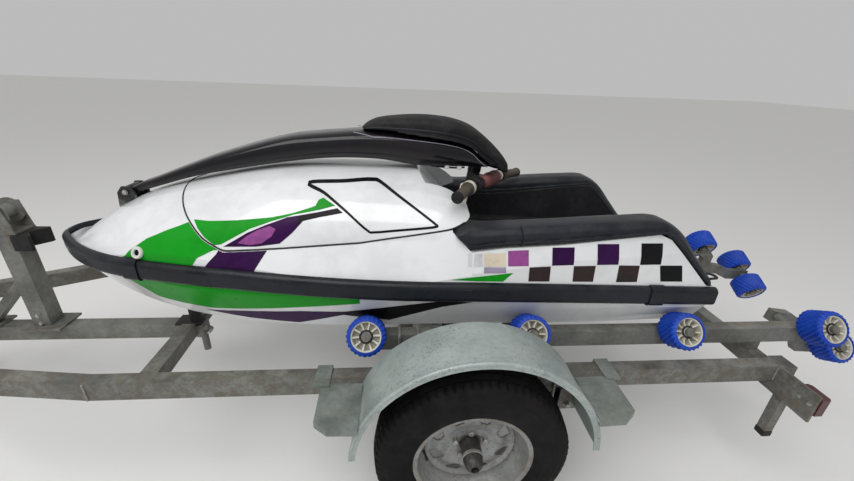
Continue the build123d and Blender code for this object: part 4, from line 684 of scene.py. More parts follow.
# coloured films on hood, deck and hull: side-view outlines in metres, the same on both sides
seam = [(0.330 - 0.006 * k, deckEdge(0.330 - 0.006 * k, 1)) for k in range(44)]
films = {
    "greenDeck": ("deck", "greenFilm", [(0.531, 0.771), (0.523, 0.784), (0.5, 0.807), (0.442, 0.846),
                                        (0.381, 0.872), (0.340, 0.887)]
                  + [p for p in seam if 0.222 < p[0] and p[1] < 0.896]
                  + [(0.236, 0.832), (0.257, 0.822), (0.285, 0.808), (0.315, 0.769), (0.377, 0.768),
                     (0.431, 0.768), (0.483, 0.77)]),
    "greenHood": ("hood", "greenFilm", [(0.303, 0.903), (0.255, 0.903), (0.175, 0.91), (0.07, 0.923),
        (0.008, 0.936), (-0.053, 0.954), (-0.061, 0.968), (-0.074, 0.973), (-0.11, 0.956), (-0.064, 0.945),
        (0.007, 0.932), (0.069, 0.914), (0.132, 0.892), (0.181, 0.866), (0.215, 0.848), (0.234, 0.845),
        (0.264, 0.863), (0.288, 0.884)]),
    "purpleHood": ("hood", "purpleFilm", [(0.208, 0.842), (0.176, 0.86), (0.14, 0.881), (0.087, 0.903),
        (0.025, 0.925), (-0.064, 0.94), (-0.117, 0.95), (-0.133, 0.939), (-0.065, 0.927), (-0.02, 0.917),
        (0.011, 0.885), (0.047, 0.855), (0.114, 0.845)]),
    "pinkHood": ("hood", "pinkFilm", [(0.166, 0.853), (0.14, 0.873), (0.106, 0.891), (0.074, 0.901),
        (0.057, 0.894), (0.068, 0.875), (0.097, 0.855), (0.132, 0.849)]),
    "blackHood": ("hood", "blackFilm", [(-0.011, 0.93), (-0.064, 0.938), (-0.117, 0.948), (-0.131, 0.939),
        (-0.064, 0.928), (-0.023, 0.919), (-0.003, 0.909)]),
    "purpleDeck": ("deck", "purpleFilm", [(0.276, 0.771), (0.253, 0.797), (0.228, 0.822)]
        + [p for p in seam if 0.079 < p[0] < 0.223] + [(0.124, 0.775), (0.198, 0.773)]),
    "greenWedge": ("deck", "greenFilm", [(-0.448, 0.762), (-0.541, 0.771), (-0.639, 0.781), (-0.61, 0.752),
        (-0.527, 0.755)]),
    "checkPink": ("deck", "pinkFilm", [(-0.619, 0.847), (-0.681, 0.85), (-0.684, 0.803), (-0.621, 0.802)]),
    "checkCream": ("deck", "creamFilm", [(-0.547, 0.839), (-0.613, 0.84), (-0.615, 0.802), (-0.548, 0.801)]),
    "checkGrey": ("deck", "mauveFilm", [(-0.548, 0.799), (-0.615, 0.799), (-0.617, 0.781), (-0.549, 0.782)]),
    "checkFade": ("deck", "fadeFilm", [(-0.5, 0.837), (-0.542, 0.839), (-0.544, 0.801), (-0.501, 0.8)]),
    "checkPurpleA": ("deck", "purpleFilm", [(-0.753, 0.858), (-0.821, 0.859), (-0.824, 0.805),
                                            (-0.756, 0.804)]),
    "checkPurpleB": ("deck", "purpleFilm", [(-0.892, 0.869), (-0.96, 0.869), (-0.968, 0.804),
                                            (-0.899, 0.804)]),
    "checkBlackA": ("deck", "blackFilm", [(-1.031, 0.871), (-1.1, 0.871), (-1.109, 0.802), (-1.04, 0.802)]),
    "checkBlackB": ("deck", "blackFilm", [(-1.108, 0.798), (-1.183, 0.797), (-1.202, 0.739),
                                          (-1.126, 0.741)]),
    "checkBrown": ("deck", "brownFilm", [(-0.972, 0.801), (-1.04, 0.799), (-1.046, 0.741), (-0.976, 0.742)]),
    "checkDark": ("deck", "brownFilm", [(-0.826, 0.801), (-0.896, 0.801), (-0.899, 0.745), (-0.832, 0.747)]),
    "checkPlum": ("deck", "brownFilm", [(-0.687, 0.799), (-0.753, 0.801), (-0.757, 0.749), (-0.69, 0.751)]),
    "greenHull": ("hull", "greenFilm", [(0.590, 0.724), (0.560, 0.700), (0.545, 0.684), (0.527, 0.659),
                                        (0.487, 0.616), (0.404, 0.608), (0.298, 0.604), (0.055, 0.639),
                                        (-0.178, 0.668), (-0.179, 0.694), (0.1, 0.712), (0.3, 0.722)]),
    "purpleHull": ("hull", "purpleFilm", [(0.328, 0.587), (0.195, 0.606), (0.012, 0.623), (-0.175, 0.625),
                                          (0.025, 0.559), (0.187, 0.569)]),
    "blackHull": ("hull", "blackFilm", [(-0.08, 0.616), (-0.232, 0.644), (-0.428, 0.681), (-0.528, 0.675),
                                        (-0.431, 0.65), (-0.266, 0.578)]),
}
filmTrees = {"hood": hoodTree, "deck": deckTree, "hull": hullTree}
for name, (where, look, outline) in films.items():
    lift = 0.0022 if name in ("pinkHood", "blackHood") else 0.0010
    filmPiece("film" + name[0].upper() + name[1:], outline, filmTrees[where], made[look], lift, 0.012)
print("films laid:", len(films))

# black pinstripe panel on each side of the hood
panelLine = {"outline": [(-0.021, 1.001), (-0.13, 1.006), (-0.207, 1.009), (-0.245, 1.003), (-0.326, 0.963),
                         (-0.403, 0.915), (-0.403, 0.908), (-0.378, 0.904), (-0.299, 0.896), (-0.223, 0.889),
                         (-0.203, 0.895), (-0.139, 0.945), (-0.077, 0.982)], "halfWidth": 0.0032,
             "lift": 0.0009}
verts, faces = [], []
for side in (1, -1):
    loop = [(p.x, p.z) for p in curvePoints([(x, 0, z) for x, z in panelLine["outline"]], 5, True)]
    count = len(loop)
    base = len(verts)
    for i in range(count):
        a, b = Vector(loop[i - 1]), Vector(loop[(i + 1) % count])
        across = (b - a).normalized()
        across = Vector((-across.y, across.x)) * panelLine["halfWidth"]
        for way in (1, -1):
            verts.append(onFlank(hoodTree, loop[i][0] + way * across.x, loop[i][1] + way * across.y, side,
                                 panelLine["lift"]))
    for i in range(count):
        n = (i + 1) % count
        faces.append((base + 2 * i, base + 2 * n, base + 2 * n + 1, base + 2 * i + 1))
addPiece("hoodPinstripe", verts, faces, made["blackFilm"])

# rubber gasket in the joint between hood and deck, found where the two shells trade places
gasket = {"radius": 0.0023, "rear": -0.492, "front": 0.330, "step": 0.009, "lift": 0.0004}


def flankHeight(x, side):
    z = 0.800
    while z < 1.02:
        ray = sideRay(x, z, side)
        hood, deck = hoodTree.ray_cast(*ray)[0], deckTree.ray_cast(*ray)[0]
        if hood is not None and (deck is None or hood.y * side > deck.y * side):
            return onFlank(hoodTree, x, z, side, gasket["lift"])
        z += 0.001
    return None


def crownStation(y):
    x = 0.430
    while x > 0.20:
        ray = (Vector((x, y, 1.30)), Vector((0, 0, -1)), 0.6)
        hood, deck = hoodTree.ray_cast(*ray), deckTree.ray_cast(*ray)[0]
        if hood[0] is not None and (deck is None or hood[0].z > deck.z):
            return hood[0] + hood[1] * gasket["lift"]
        x -= 0.001
    return None


flank = {1: [], -1: []}
for side in (1, -1):
    x = gasket["rear"]
    while x <= gasket["front"]:
        flank[side].append(flankHeight(x, side))
        x += gasket["step"]
    flank[side] = [p for p in flank[side] if p is not None]
reach = min(abs(flank[1][-1].y), abs(flank[-1][-1].y)) - 0.004
crown = [crownStation(reach * math.cos(math.pi * k / 30)) for k in range(31)]
joint = flank[1] + [p for p in crown if p is not None] + flank[-1][::-1]
for turn in range(2):
    inner = [(joint[i - 1] + joint[i] * 2 + joint[i + 1]) / 4 for i in range(1, len(joint) - 1)]
    joint = [joint[0]] + inner + [joint[-1]]
tubePiece("hoodGasket", joint, gasket["radius"], made["blackRubber"], sides=8)
print("gasket points:", len(joint))
print("hood seam and pinstripe made")


def squircle(halfY, low, high, count, power, lean=0.0):
    ring = []
    middle, halfZ = (low + high) / 2, (high - low) / 2
    for k in range(count):
        a = 2 * math.pi * (k + 0.5) / count
        c, s = math.cos(a), math.sin(a)
        y = halfY * math.copysign(abs(c) ** (2 / power), c)
        z = halfZ * math.copysign(abs(s) ** (2 / power), s)
        ring.append((y + lean, middle + z))
    return ring


def tableAt(rows, x):               # smooth reading of a table whose first column is x
    rows = sorted(rows)
    x = min(max(x, rows[0][0]), rows[-1][0])
    for i in range(len(rows) - 1):
        if rows[i][0] <= x <= rows[i + 1][0]:
            break
    a, b = rows[i], rows[i + 1]
    before, after = rows[max(i - 1, 0)], rows[min(i + 2, len(rows) - 1)]
    t = (x - a[0]) / (b[0] - a[0])
    values = []
    for k in range(1, len(a)):
        span = b[0] - a[0]
        startSlope = (b[k] - before[k]) / (b[0] - before[0]) * span
        endSlope = (after[k] - a[k]) / (after[0] - a[0]) * span
        values.append((2 * t ** 3 - 3 * t ** 2 + 1) * a[k] + (t ** 3 - 2 * t ** 2 + t) * startSlope
                      + (3 * t ** 2 - 2 * t ** 3) * b[k] + (t ** 3 - t ** 2) * endSlope)
    return values


# handle pole: a rounded glossy arm that replaces the plain one
pole = {"rows": [(812, 27, 431, 458), (790, 30, 437, 464), (762, 31, 447, 478), (725, 42, 459, 491),
                 (600, 60, 497, 540), (495, 68, 520, 578), (291, 78, 555, 636), (138, 80, 572, 656),
                 (-14, 80, 571, 666), (-149, 78, 552, 657), (-268, 74, 550, 641), (-321, 72, 552, 621),
                 (-356, 68, 552, 590), (-391, 64, 553, 567)],
        "rings": 72, "points": 40, "power": 3.4}
rings = []
for k in range(pole["rings"] + 1):
    x = 824 - (824 + 391) * k / pole["rings"]
    half, low, high = tableAt(pole["rows"], x)
    end = max(0.0, min(1.0, (824 - x) / 20.0, (x + 391.5) / 26.0 + 0.25))
    shrink = math.sqrt(max(0.12, 1 - (1 - end) ** 2))
    middle = (low + high) / 2
    low, high = middle + (low - middle) * shrink, middle + (high - middle) * shrink
    rings.append([Vector((craftX(x), y / 1000, craftZ(z)))
                  for y, z in squircle(half * (0.6 + 0.4 * shrink), low, high, pole["points"],
                                       pole["power"])])
shell = loftPiece("poleShell", rings, made["poleGloss"], "pole")
steering = {"pivot": (-0.566, 1.032), "below": 0.046, "tiltDeg": 8, "turnDeg": -33.0}
barTilt = math.radians(steering["tiltDeg"])
barTurn = math.radians(steering["turnDeg"])
barOrigin = Vector((steering["pivot"][0] + math.sin(barTilt) * steering["below"], 0.0,
                    steering["pivot"][1] - math.cos(barTilt) * steering["below"]))
barUp = Vector((-math.sin(barTilt), 0, math.cos(barTilt)))
barAhead = Vector((math.cos(barTilt), 0, math.sin(barTilt)))
barX = barAhead * math.cos(barTurn) + Vector((0, 1, 0)) * math.sin(barTurn)
barY = barUp.cross(barX)


def barPoint(x, y, z=0.0):          # steering plane in mm to the frame
    return barOrigin + (barX * x + barY * y + barUp * z) / 1000


lathePiece("poleBoss", [(0.0145, 0.0195), (0.0225, 0.0205), (0.0235, 0.024), (0.0235, 0.062),
                        (0.0145, 0.062)],
           axisPlace(barOrigin, barUp), made["poleGloss"], "pole", 40)
lathePiece("poleBarrel", [(0.0085, -0.0305), (0.0165, -0.0305), (0.0172, -0.028), (0.0172, 0.028),
                          (0.0165, 0.0305), (0.0085, 0.0305)],
           axisPlace((craftX(812), 0, craftZ(446)), (0, 1, 0)), made["poleGloss"], "pole", 40)
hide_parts("handle_pole")

# chin pad: soft foam cushion that lies on the pole and wraps over its tip
pad = {"rows": [(40, 30, 668, 672), (33, 48, 667, 677), (10, 66, 667, 690), (-14, 76, 668, 698),
                (-80, 86, 665, 707), (-149, 91, 660, 711), (-210, 92, 653, 709), (-268, 91, 644, 701),
                (-321, 87, 624, 684), (-356, 84, 594, 662), (-392, 80, 569, 634), (-425, 76, 543, 604),
                (-445, 71, 536, 582), (-458, 60, 538, 566)],
       "rings": 60, "points": 40, "power": 2.7, "fill": 0.75, "wrap": 13}
rings = []
for k in range(pad["rings"] + 1):
    x = 40 - 498 * k / pad["rings"]
    half, low, high = tableAt(pad["rows"], x)
    poleHalf = tableAt(pole["rows"], x)[0]
    ring = []
    bottom = (low + high) / 2
    for y, z in squircle(half, low, high, pad["points"], pad["power"]):
        if z < bottom:
            z = bottom - (bottom - low) * min(1.0, ((bottom - z) / (bottom - low)) ** 0.35)
        if z < (low + high) / 2 and abs(y) > poleHalf + 1 and -392 < x < 0:
            z -= pad["wrap"] * min(1.0, (abs(y) - poleHalf) / 8) * min(1.0, -x / 60)
        ring.append(Vector((craftX(x), y / 1000, craftZ(z))))
    rings.append(ring)
cushion = loftPiece("chinPad", rings, made["padFoam"], "pole")
puff(cushion, 0.005, 4.0, 0.005)
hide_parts("pole_pad")
for side, label in ((1, "Left"), (-1, "Right")):
    line = []
    for k in range(34):
        x = 24 - 440 * k / 33
        half, low, high = tableAt(pad["rows"], x)
        line.append(Vector((craftX(x), side * (half + 0.6) / 1000, craftZ(low + 0.30 * (high - low)))))
    tubePiece("padPiping" + label, line, 0.0022, made["blackVinyl"], "pole", 8)
print("pole and chin pad made")

# side bolsters: padded vinyl over the gunwales
bolster = {"under": [(-240, 415), (-268, 386), (-296, 362), (-340, 368), (-395, 374), (-561, 384),
                     (-720, 400), (-876, 416), (-900, 409), (-920, 396), (-960, 356), (-1020, 299),
                     (-1080, 241), (-1106, 232)],
           "over": [(-240, 421), (-268, 431), (-296, 433), (-340, 431), (-395, 433), (-561, 442), (-720, 452),
                    (-876, 458), (-900, 453), (-920, 443), (-960, 412), (-1020, 345), (-1080, 278),
                    (-1104, 250)],
           "inner": 207.5, "outer": 327.5, "rings": 84, "points": 36, "power": 3.6, "fill": 0.85}
bolsterPieces = []
for side, node, label in ((1, "bolster_left", "Left"), (-1, "bolster_right", "Right")):
    rings = []
    for k in range(bolster["rings"] + 1):
        t = k / bolster["rings"]
        rowA = tableAt([(i, x, z) for i, (x, z) in enumerate(bolster["under"])], t * 13)
        rowB = tableAt([(i, x, z) for i, (x, z) in enumerate(bolster["over"])], t * 13)
        foot, head = Vector(rowA), Vector(rowB)
        halfY = (bolster["outer"] - bolster["inner"]) / 2
        middleY = (bolster["outer"] + bolster["inner"]) / 2
        endSize = min(1.0, math.sqrt(min(1.0, (t * 30 + 0.12))), math.sqrt(min(1.0, (1 - t) * 22 + 0.18)))
        ring = []
        for y, s in squircle(halfY * endSize, 0.0, 1.0, bolster["points"], bolster["power"]):
            crown = 1.0 - 0.10 * (y / halfY) ** 2 if s > 0.5 else 1.0
            point = foot.lerp(head, max(0.015, s * crown))
            ring.append(Vector((craftX(point.x), side * (middleY + y) / 1000, craftZ(point.y))))
        rings.append(ring)
    piece = loftPiece("bolster" + label, rings, made["blackVinyl"])
    puff(piece, 0.005, 4.0, 0.005)
    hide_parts(node)
    bolsterPieces.append(piece)
    stitch = rings[28]
    middle = sum((p for p in stitch), Vector()) / len(stitch)
    tubePiece("bolsterSeam" + label, [middle + (p - middle) * 1.012 for p in stitch], 0.0011,
              made["holeShadeAndSeamBlack"], sides=6, loop=True)
    for edge, share in (("Outer", 0.985), ("Inner", 0.015)):
        line = []
        for k in range(6, 80):
            t = k / bolster["rings"]
            foot = Vector(tableAt([(i, x, z) for i, (x, z) in enumerate(bolster["under"])], t * 13))
            head = Vector(tableAt([(i, x, z) for i, (x, z) in enumerate(bolster["over"])], t * 13))
            point = foot.lerp(head, 0.30)
            y = bolster["inner"] + (bolster["outer"] - bolster["inner"]) * share
            line.append(Vector((craftX(point.x), side * (y + (0.5 if edge == "Outer" else -0.5)) / 1000,
                                craftZ(point.y))))
        tubePiece("bolsterPiping" + label + edge, line, 0.0019, made["blackVinyl"], sides=8)
print("bolsters made")

# tray mat: floor and walls of ribbed foam
mat = {"front": -337, "back": -1096, "half": 199.4, "thick": 8.5, "ribGap": 22.0, "ribHalf": 6.5,
       "ribHigh": 2.2}


def matFloor(x):
    return 277 + 0.4 + (x + 336) * (277 - 234) / (-336 + 1170)


matUnder = [(-1098, 246), (-1080, 252), (-913, 414), (-876, 429), (-561, 396), (-395, 386), (-337, 380)]
columns = 64
profile = []
for k in range(columns + 1):
    x = mat["back"] + (mat["front"] - mat["back"]) * k / columns
    top = tableAt(matUnder, x)[0] - 2.0
    low = matFloor(x) + 0.4
    half, thick = mat["half"], mat["thick"]
    outerLine = [(half, top), (half, low + 14), (half - 4, low + 4), (half - 14, low)]
    innerLine = [(half - 14 - 4, low + thick), (half - thick - 4, low + thick + 4),
                 (half - thick, low + 14 + thick), (half - thick, top)]
    ring = (outerLine + [(-y, z) for y, z in reversed(outerLine)]
            + [(-y, z) for y, z in reversed(innerLine)] + innerLine)
    profile.append([Vector((craftX(x), y / 1000, craftZ(z))) for y, z in ring])
liner = loftPiece("trayLiner", profile, made["matFoam"], smooth=False)
soften(liner, 0.002, 2, 30)
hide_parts("tray_mat")
verts, faces = [], []
count = int((mat["front"] - mat["back"] - 90) / mat["ribGap"])
for i in range(count):
    x = mat["back"] + 50 + i * mat["ribGap"]
    for y0, y1 in ((-170, -62), (-54, 54), (62, 170)):
        base = len(verts)
        for dx, dz in ((-mat["ribHalf"], -0.5), (-mat["ribHalf"] + 1.6, mat["ribHigh"]),
                       (mat["ribHalf"] - 1.6, mat["ribHigh"]), (mat["ribHalf"], -0.5)):
            for y in (y0, y0 + 3, y1 - 3, y1):
                inset = -0.8 if y in (y0, y1) and dz > 0 else 0.0
                verts.append(Vector((craftX(x + dx), y / 1000,
                                     craftZ(matFloor(x + dx) + 0.8 + mat["thick"] + dz + inset))))
        for r in range(3):
            for c in range(3):
                a = base + r * 4 + c
                faces.append((a, a + 1, a + 5, a + 4))
ribs = addPiece("trayRibs", verts, faces, made["matFoam"])
print("tray mat made")

# grips, throttle lever, switch block and bar pad
bars = {"ends": ((-76, 300), (-52, 150), (-52, -150), (-76, -300)), "gripRadius": 15.6, "flange": 22,
        "ribs": 26,
        "padFrom": 42, "padTo": -122, "padRadius": 27}
for start, bend, label in ((bars["ends"][0], bars["ends"][1], "Left"),
                           (bars["ends"][3], bars["ends"][2], "Right")):
    tip = barPoint(*start)
    inward = (barPoint(*bend) - tip).normalized()
    profile = [(0.0115, 0.0)]
    for i in range(bars["ribs"]):
        h = 0.002 + i * 0.0045
        r = bars["gripRadius"] / 1000
        profile += [(r, h), (r + 0.0011, h + 0.0008), (r + 0.0011, h + 0.0026), (r, h + 0.0034)]
    profile += [(0.0160, 0.1195), (bars["flange"] / 1000, 0.1205), (bars["flange"] / 1000 + 0.0006, 0.1225),
                (bars["flange"] / 1000, 0.1245), (0.0130, 0.125), (0.0115, 0.125)]
    grip = lathePiece("grip" + label, profile, axisPlace(tip, inward), made["gripRubber"], "steering", 36)
    end = [(0.0001, -0.0062), (0.0130, -0.0060), (0.0172, -0.0040), (0.0184, -0.0010), (0.0184, 0.0015),
           (0.0150, 0.0022), (0.0001, 0.0022)]
    lathePiece("gripEnd" + label, end, axisPlace(tip, inward), made["gripEnd"], "steering", 36)
    if label == "Left":
        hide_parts("hand_grips")


barAxes = (barX, barY, barUp)
inwardLeft = (barPoint(*bars["ends"][1]) - barPoint(*bars["ends"][0])).normalized()
clampAt = barPoint(*bars["ends"][0]) + inwardLeft * 0.139
clamp = lathePiece("throttleClamp", [(0.0115, -0.013), (0.0205, -0.013), (0.0230, -0.010), (0.0230, 0.010),
                                     (0.0205, 0.013), (0.0115, 0.013)], axisPlace(clampAt, inwardLeft),
                   made["controlPlastic"], "steering", 36)
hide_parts("bar_controls")
blockPiece("throttleHousing", clampAt - barUp * 0.006 + barX * 0.008, barAxes, (0.040, 0.026, 0.034),
           made["controlPlastic"], "steering", 0.007)
rings = []
lever = [(-10, 22, 6.0), (-7, 34, 8.0), (0, 45, 8.5), (14, 52, 8.0), (28, 54, 7.0), (40, 54, 6.0),
         (48, 52, 3.6)]
for along, down, half in lever:
    centre = clampAt - inwardLeft * (along / 1000) + barX * 0.006 - barUp * (down / 1000)
    rings.append([centre + barUp * (0.0030 * math.cos(a)) + barX * (half / 1000 * math.sin(a))
                  for a in [2 * math.pi * j / 14 for j in range(14)]])
subdivide(loftPiece("throttleLever", rings, made["controlPlastic"], "steering"))
switchAt = barPoint(-52, 84)
lathePiece("switchBlock", [(0.0115, -0.022), (0.0190, -0.022), (0.0225, -0.019), (0.0230, 0.000),
                           (0.0225, 0.019), (0.0190, 0.022), (0.0115, 0.022)], axisPlace(switchAt, barY),
           made["gripEnd"], "steering", 32)
blockPiece("switchFace", switchAt + barX * 0.018, barAxes, (0.018, 0.036, 0.026), made["gripEnd"],
           "steering", 0.004)
for name, offset, look in (("stopButton", 0.009, "redPlastic"), ("startButton", -0.009, "buttonGrey")):
    lathePiece(name, [(0.0001, 0.006), (0.0055, 0.006), (0.0070, 0.004), (0.0072, 0.0), (0.0001, 0.0)],
               axisPlace(switchAt + barX * 0.0265 + barY * offset, barX), made[look], "steering", 28)
padRings = []
for k in range(33):
    t = k / 32
    y = bars["padFrom"] + (bars["padTo"] - bars["padFrom"]) * t
    edge = math.sqrt(max(0.05, 1 - abs(2 * t - 1) ** 8))
    radius = bars["padRadius"] * edge * (1 + 0.10 * t - 0.05 * math.cos(y / 9.0)) / 1000
    padRings.append([barPoint(-52, y) + barX * radius * 0.92 * math.cos(a) + barUp * radius * math.sin(a)
                     for a in [2 * math.pi * j / 28 for j in range(28)]])
barPad = loftPiece("barPad", padRings, made["padFaded"], "steering")
puff(barPad, 0.004, 4.0, 0.003, seated=False)
lathePiece("barCollar", [(0.0115, -0.007), (0.0190, -0.007), (0.0202, -0.004), (0.0202, 0.004),
                         (0.0190, 0.007), (0.0115, 0.007)], axisPlace(barPoint(-52, -132), barY),
           made["controlPlastic"], "steering", 36)
lathePiece("barFlange", [(0.0115, -0.003), (0.0230, -0.003), (0.0238, 0.0), (0.0230, 0.003), (0.0115, 0.003)],
           axisPlace(barPoint(-52, -144), barY), made["gripEnd"], "steering", 36)
# dark bracket that fills the space between the pole's tip and the cushion's tail
rings = []
for x, low, high in ((-378, 556, 572), (-392, 552, 578), (-412, 546, 576), (-432, 544, 560),
                     (-440, 545, 556)):
    rings.append([Vector((craftX(x), y / 1000, craftZ(z))) for y, z in squircle(54, low, high, 28, 4.0)])
loftPiece("padBracket", rings, made["poleGloss"], "pole")
print("bar, grips and controls made")

# clips and a short rod under the pole's tip, a pale line painted as the highlight along the pole's top edge
for number, (x, z) in enumerate(((-0.4580, 1.0335), (-0.5000, 1.0310))):
    blockPiece("poleClip%d" % (number + 1), (x, 0.056, z), straight, (0.015, 0.014, 0.012),
               made["fittingPlastic"], "pole", 0.003)
tubePiece("poleRod", curvePoints([(-0.405, 0.047, 1.0345), (-0.440, 0.047, 1.0310), (-0.480, 0.047, 1.0285),
                                  (-0.520, 0.047, 1.0305)], 4), 0.0030, made["gripEnd"], "pole", 10)
# thin pale tube under the cushion's edge: a painted highlight on the pole's top edge
for side, label in ((1, "Left"), (-1, "Right")):
    line = []
    for k in range(44):
        x = 60 - 440 * k / 43
        poleRow = tableAt(pole["rows"], x)
        drop = 15.5 * min(1.0, (60 - x) / 60) + (2.0 if x < 0 else 0.0)
        line.append(Vector((craftX(x), side * (poleRow[0] + 0.3) / 1000, craftZ(poleRow[2] - drop))))
    tubePiece("poleRimHighlight" + label, line, 0.0012, made["edgeHighlightPale"], "pole", 8)

# fittings: pivot bolts, drain rings and the loops on the stern
sidePlates = [axisPlace((craftX(812), side * 0.0442, craftZ(446)), (0, side, 0)) for side in (1, -1)]
boltPiece("pivotBolts", sidePlates, 0.013, 0.007, made["boltZinc"])
flank = Vector((math.sin(math.radians(15.5)) * math.cos(math.radians(23)),
                math.cos(math.radians(15.5)) * math.cos(math.radians(23)), math.sin(math.radians(23))))
for side, label in ((1, "Left"), (-1, "Right")):
    outwardWay = Vector((flank.x, side * flank.y, flank.z))
    hit = onFlank(deckTree, craftX(682), craftZ(326), side, 0.0)
    ring = [(0.0098, 0.001), (0.0098, 0.0075), (0.0112, 0.0092), (0.0160, 0.0090), (0.0180, 0.0060),
            (0.0182, 0.0010)]
    lathePiece("drainRing" + label, ring, axisPlace(hit, outwardWay), made["fittingPlastic"], segments=40)
    # dark disc painted inside the drain ring as the shade in its hole
    hole = [(0.0001, 0.0032), (0.0096, 0.0032), (0.0097, 0.0010), (0.0001, 0.0010)]
    lathePiece("drainHoleShade" + label, hole, axisPlace(hit, outwardWay), made["holeShadeAndSeamBlack"], segments=32)
for side, label in ((1, "Left"), (-1, "Right")):
    loop = [(-1.3185, 0.262), (-1.3360, 0.264), (-1.3475, 0.272), (-1.3500, 0.284), (-1.3440, 0.296),
            (-1.3185, 0.300)]
    tubePiece("sternEye" + label, curvePoints([(x, side * y, 0.735) for x, y in loop], 5), 0.0042,
              made["blackRubber"], sides=10)
print("fittings made")

# rollers: slanted ribs on the tread, spoked cream hub; one shape placed on every roller axis
roller = {"tread": 0.0556, "rib": 0.0048, "ribs": 24, "slant": 38.0, "liner": 0.0465, "spokes": 10,
          "spokeHalf": 0.0024, "boss": 0.0158, "bore": 0.0096, "tiltDeg": 30, "turn": 0.7, "turnStep": 0.55}
treadVerts, treadFaces = [], []
sections = [-0.0420, -0.0400, -0.0375, -0.0345, -0.0300, -0.0200, -0.0100, 0.0, 0.0100, 0.0200, 0.0300,
            0.0345, 0.0375, 0.0400, 0.0420]
around = roller["ribs"] * 8
for k in range(around):
    a = 2 * math.pi * k / around
    for h in sections:
        shoulder = max(0.0, (abs(h) - 0.0330) / 0.009)
        wave = math.sin(roller["ribs"] * a + roller["slant"] * h * 6.0)
        lift = 0.5 + 0.5 * max(-1.0, min(1.0, wave * 2.6))
        r = roller["tread"] + roller["rib"] * lift * (1 - shoulder) - 0.0085 * shoulder ** 1.5
        treadVerts.append(Vector((r * math.cos(a), r * math.sin(a), h)))
    for h in (0.0405, -0.0405):
        treadVerts.append(Vector((roller["liner"] * math.cos(a), roller["liner"] * math.sin(a), h)))
ringSize = len(sections) + 2
for k in range(around):
    n = (k + 1) % around
    for j in range(ringSize):
        m = (j + 1) % ringSize
        treadFaces.append((k * ringSize + j, n * ringSize + j, n * ringSize + m, k * ringSize + m))
hubVerts, hubFaces = [], []
flat = Matrix.Identity(4)
latheMesh([(roller["liner"] - 0.0002, -0.037), (roller["liner"] - 0.0002, 0.037), (0.0440, 0.0376),
           (0.0415, 0.0350), (0.0408, 0.0), (0.0415, -0.0350), (0.0440, -0.0376)], flat, 72, hubVerts,
          hubFaces)
latheMesh([(roller["bore"], -0.0300), (0.0140, -0.0300), (roller["boss"], -0.0285), (0.0166, 0.0),
           (roller["boss"], 0.0285), (0.0140, 0.0300), (roller["bore"], 0.0300)], flat, 40, hubVerts,
          hubFaces)
latheMesh([(0.0160, -0.0030), (0.0412, -0.0022), (0.0412, 0.0022), (0.0160, 0.0030)], flat, 48, hubVerts,
          hubFaces)
for k in range(roller["spokes"]):
    a = 2 * math.pi * k / roller["spokes"]
    out, side = Vector((math.cos(a), math.sin(a), 0)), Vector((-math.sin(a), math.cos(a), 0))
    base = len(hubVerts)
    for r, half, high in ((0.0150, 0.0034, 0.0285), (0.0280, roller["spokeHalf"], 0.0255),
                          (0.0420, 0.0032, 0.0320)):
        for s, h in ((-half, -high), (half, -high), (half, high), (-half, high)):
            hubVerts.append(out * r + side * s + Vector((0, 0, h)))
    for i in range(2):
        for j in range(4):
            m = (j + 1) % 4
            hubFaces.append((base + i * 4 + j, base + i * 4 + m, base + i * 4 + 4 + m, base + i * 4 + 4 + j))
# the order gives each roller its own resting turn
rollerNames = ("roller_left_front", "roller_left_middle", "roller_left_rear", "roller_right_front",
               "roller_right_middle", "roller_right_rear", "roller_left_end", "roller_arm_left_lower",
               "roller_arm_right_front", "roller_arm_right_outer", "roller_arm_right_inner")
for number, name in enumerate(rollerNames):
    low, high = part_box(name)
    centre = (Vector(low) + Vector(high)) / 2
    side = 1 if centre[1] > 0 else -1
    place = axisPlace(centre, (0, side * math.cos(math.radians(roller["tiltDeg"])), 0.5),
                      roller["turn"] + roller["turnStep"] * number)
    tread = addPiece(name + "_tread", [place @ v for v in treadVerts], treadFaces, made["rollerBlue"],
                     name + "_body")
    hub = addPiece(name + "_hub", [place @ v for v in hubVerts], hubFaces, made["hubCream"], name + "_body")
    soften(hub, 0.0008, 1, 40)
    verts, faces = [], []
    for way in (1, -1):
        latheMesh([(0.0150, way * 0.0292), (0.0205, way * 0.0292), (0.0212, way * 0.0310),
                   (0.0190, way * 0.0322), (0.0150, way * 0.0318)], place, 32, verts, faces)
    addPiece(name + "_seal", verts, faces, made["blackRubber"], name + "_body")
    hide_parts(name)
print("rollers made:", len(rollerNames))

# road tyres: grooved tread, shoulder blocks and sidewall rings
tyre = {"middle": 0.5225, "centre": (-0.514, 0.291), "sipes": 72, "sipe": 0.0045}
section = [(-0.0645, 0.1782), (-0.0700, 0.1850), (-0.0738, 0.2000), (-0.0755, 0.2040), (-0.0765, 0.2056),
           (-0.0765, 0.2090), (-0.0768, 0.2180), (-0.0775, 0.2280), (-0.0765, 0.2370), (-0.0752, 0.2430),
           (-0.0756, 0.2445), (-0.0750, 0.2475), (-0.0738, 0.2485), (-0.0715, 0.2600), (-0.0700, 0.2660),
           (-0.0665, 0.2720), (-0.0615, 0.2790), (-0.0560, 0.2842), (-0.0400, 0.2872), (-0.0385, 0.2872),
           (-0.0375, 0.2810), (-0.0330, 0.2812), (-0.0320, 0.2882), (-0.0130, 0.2904), (-0.0120, 0.2842),
           (-0.0075, 0.2843), (-0.0065, 0.2908), (0.0, 0.2910)]
section += [(-y, r) for y, r in reversed(section[:-1])]
section += [(0.0560, 0.1700), (0.0460, 0.1690), (0.0400, 0.1800), (0.0520, 0.2000), (0.0, 0.2100),
            (-0.0520, 0.2000), (-0.0400, 0.1800), (-0.0460, 0.1690), (-0.0560, 0.1700)]
around = tyre["sipes"] * 4
hubX, hubZ = tyre["centre"]
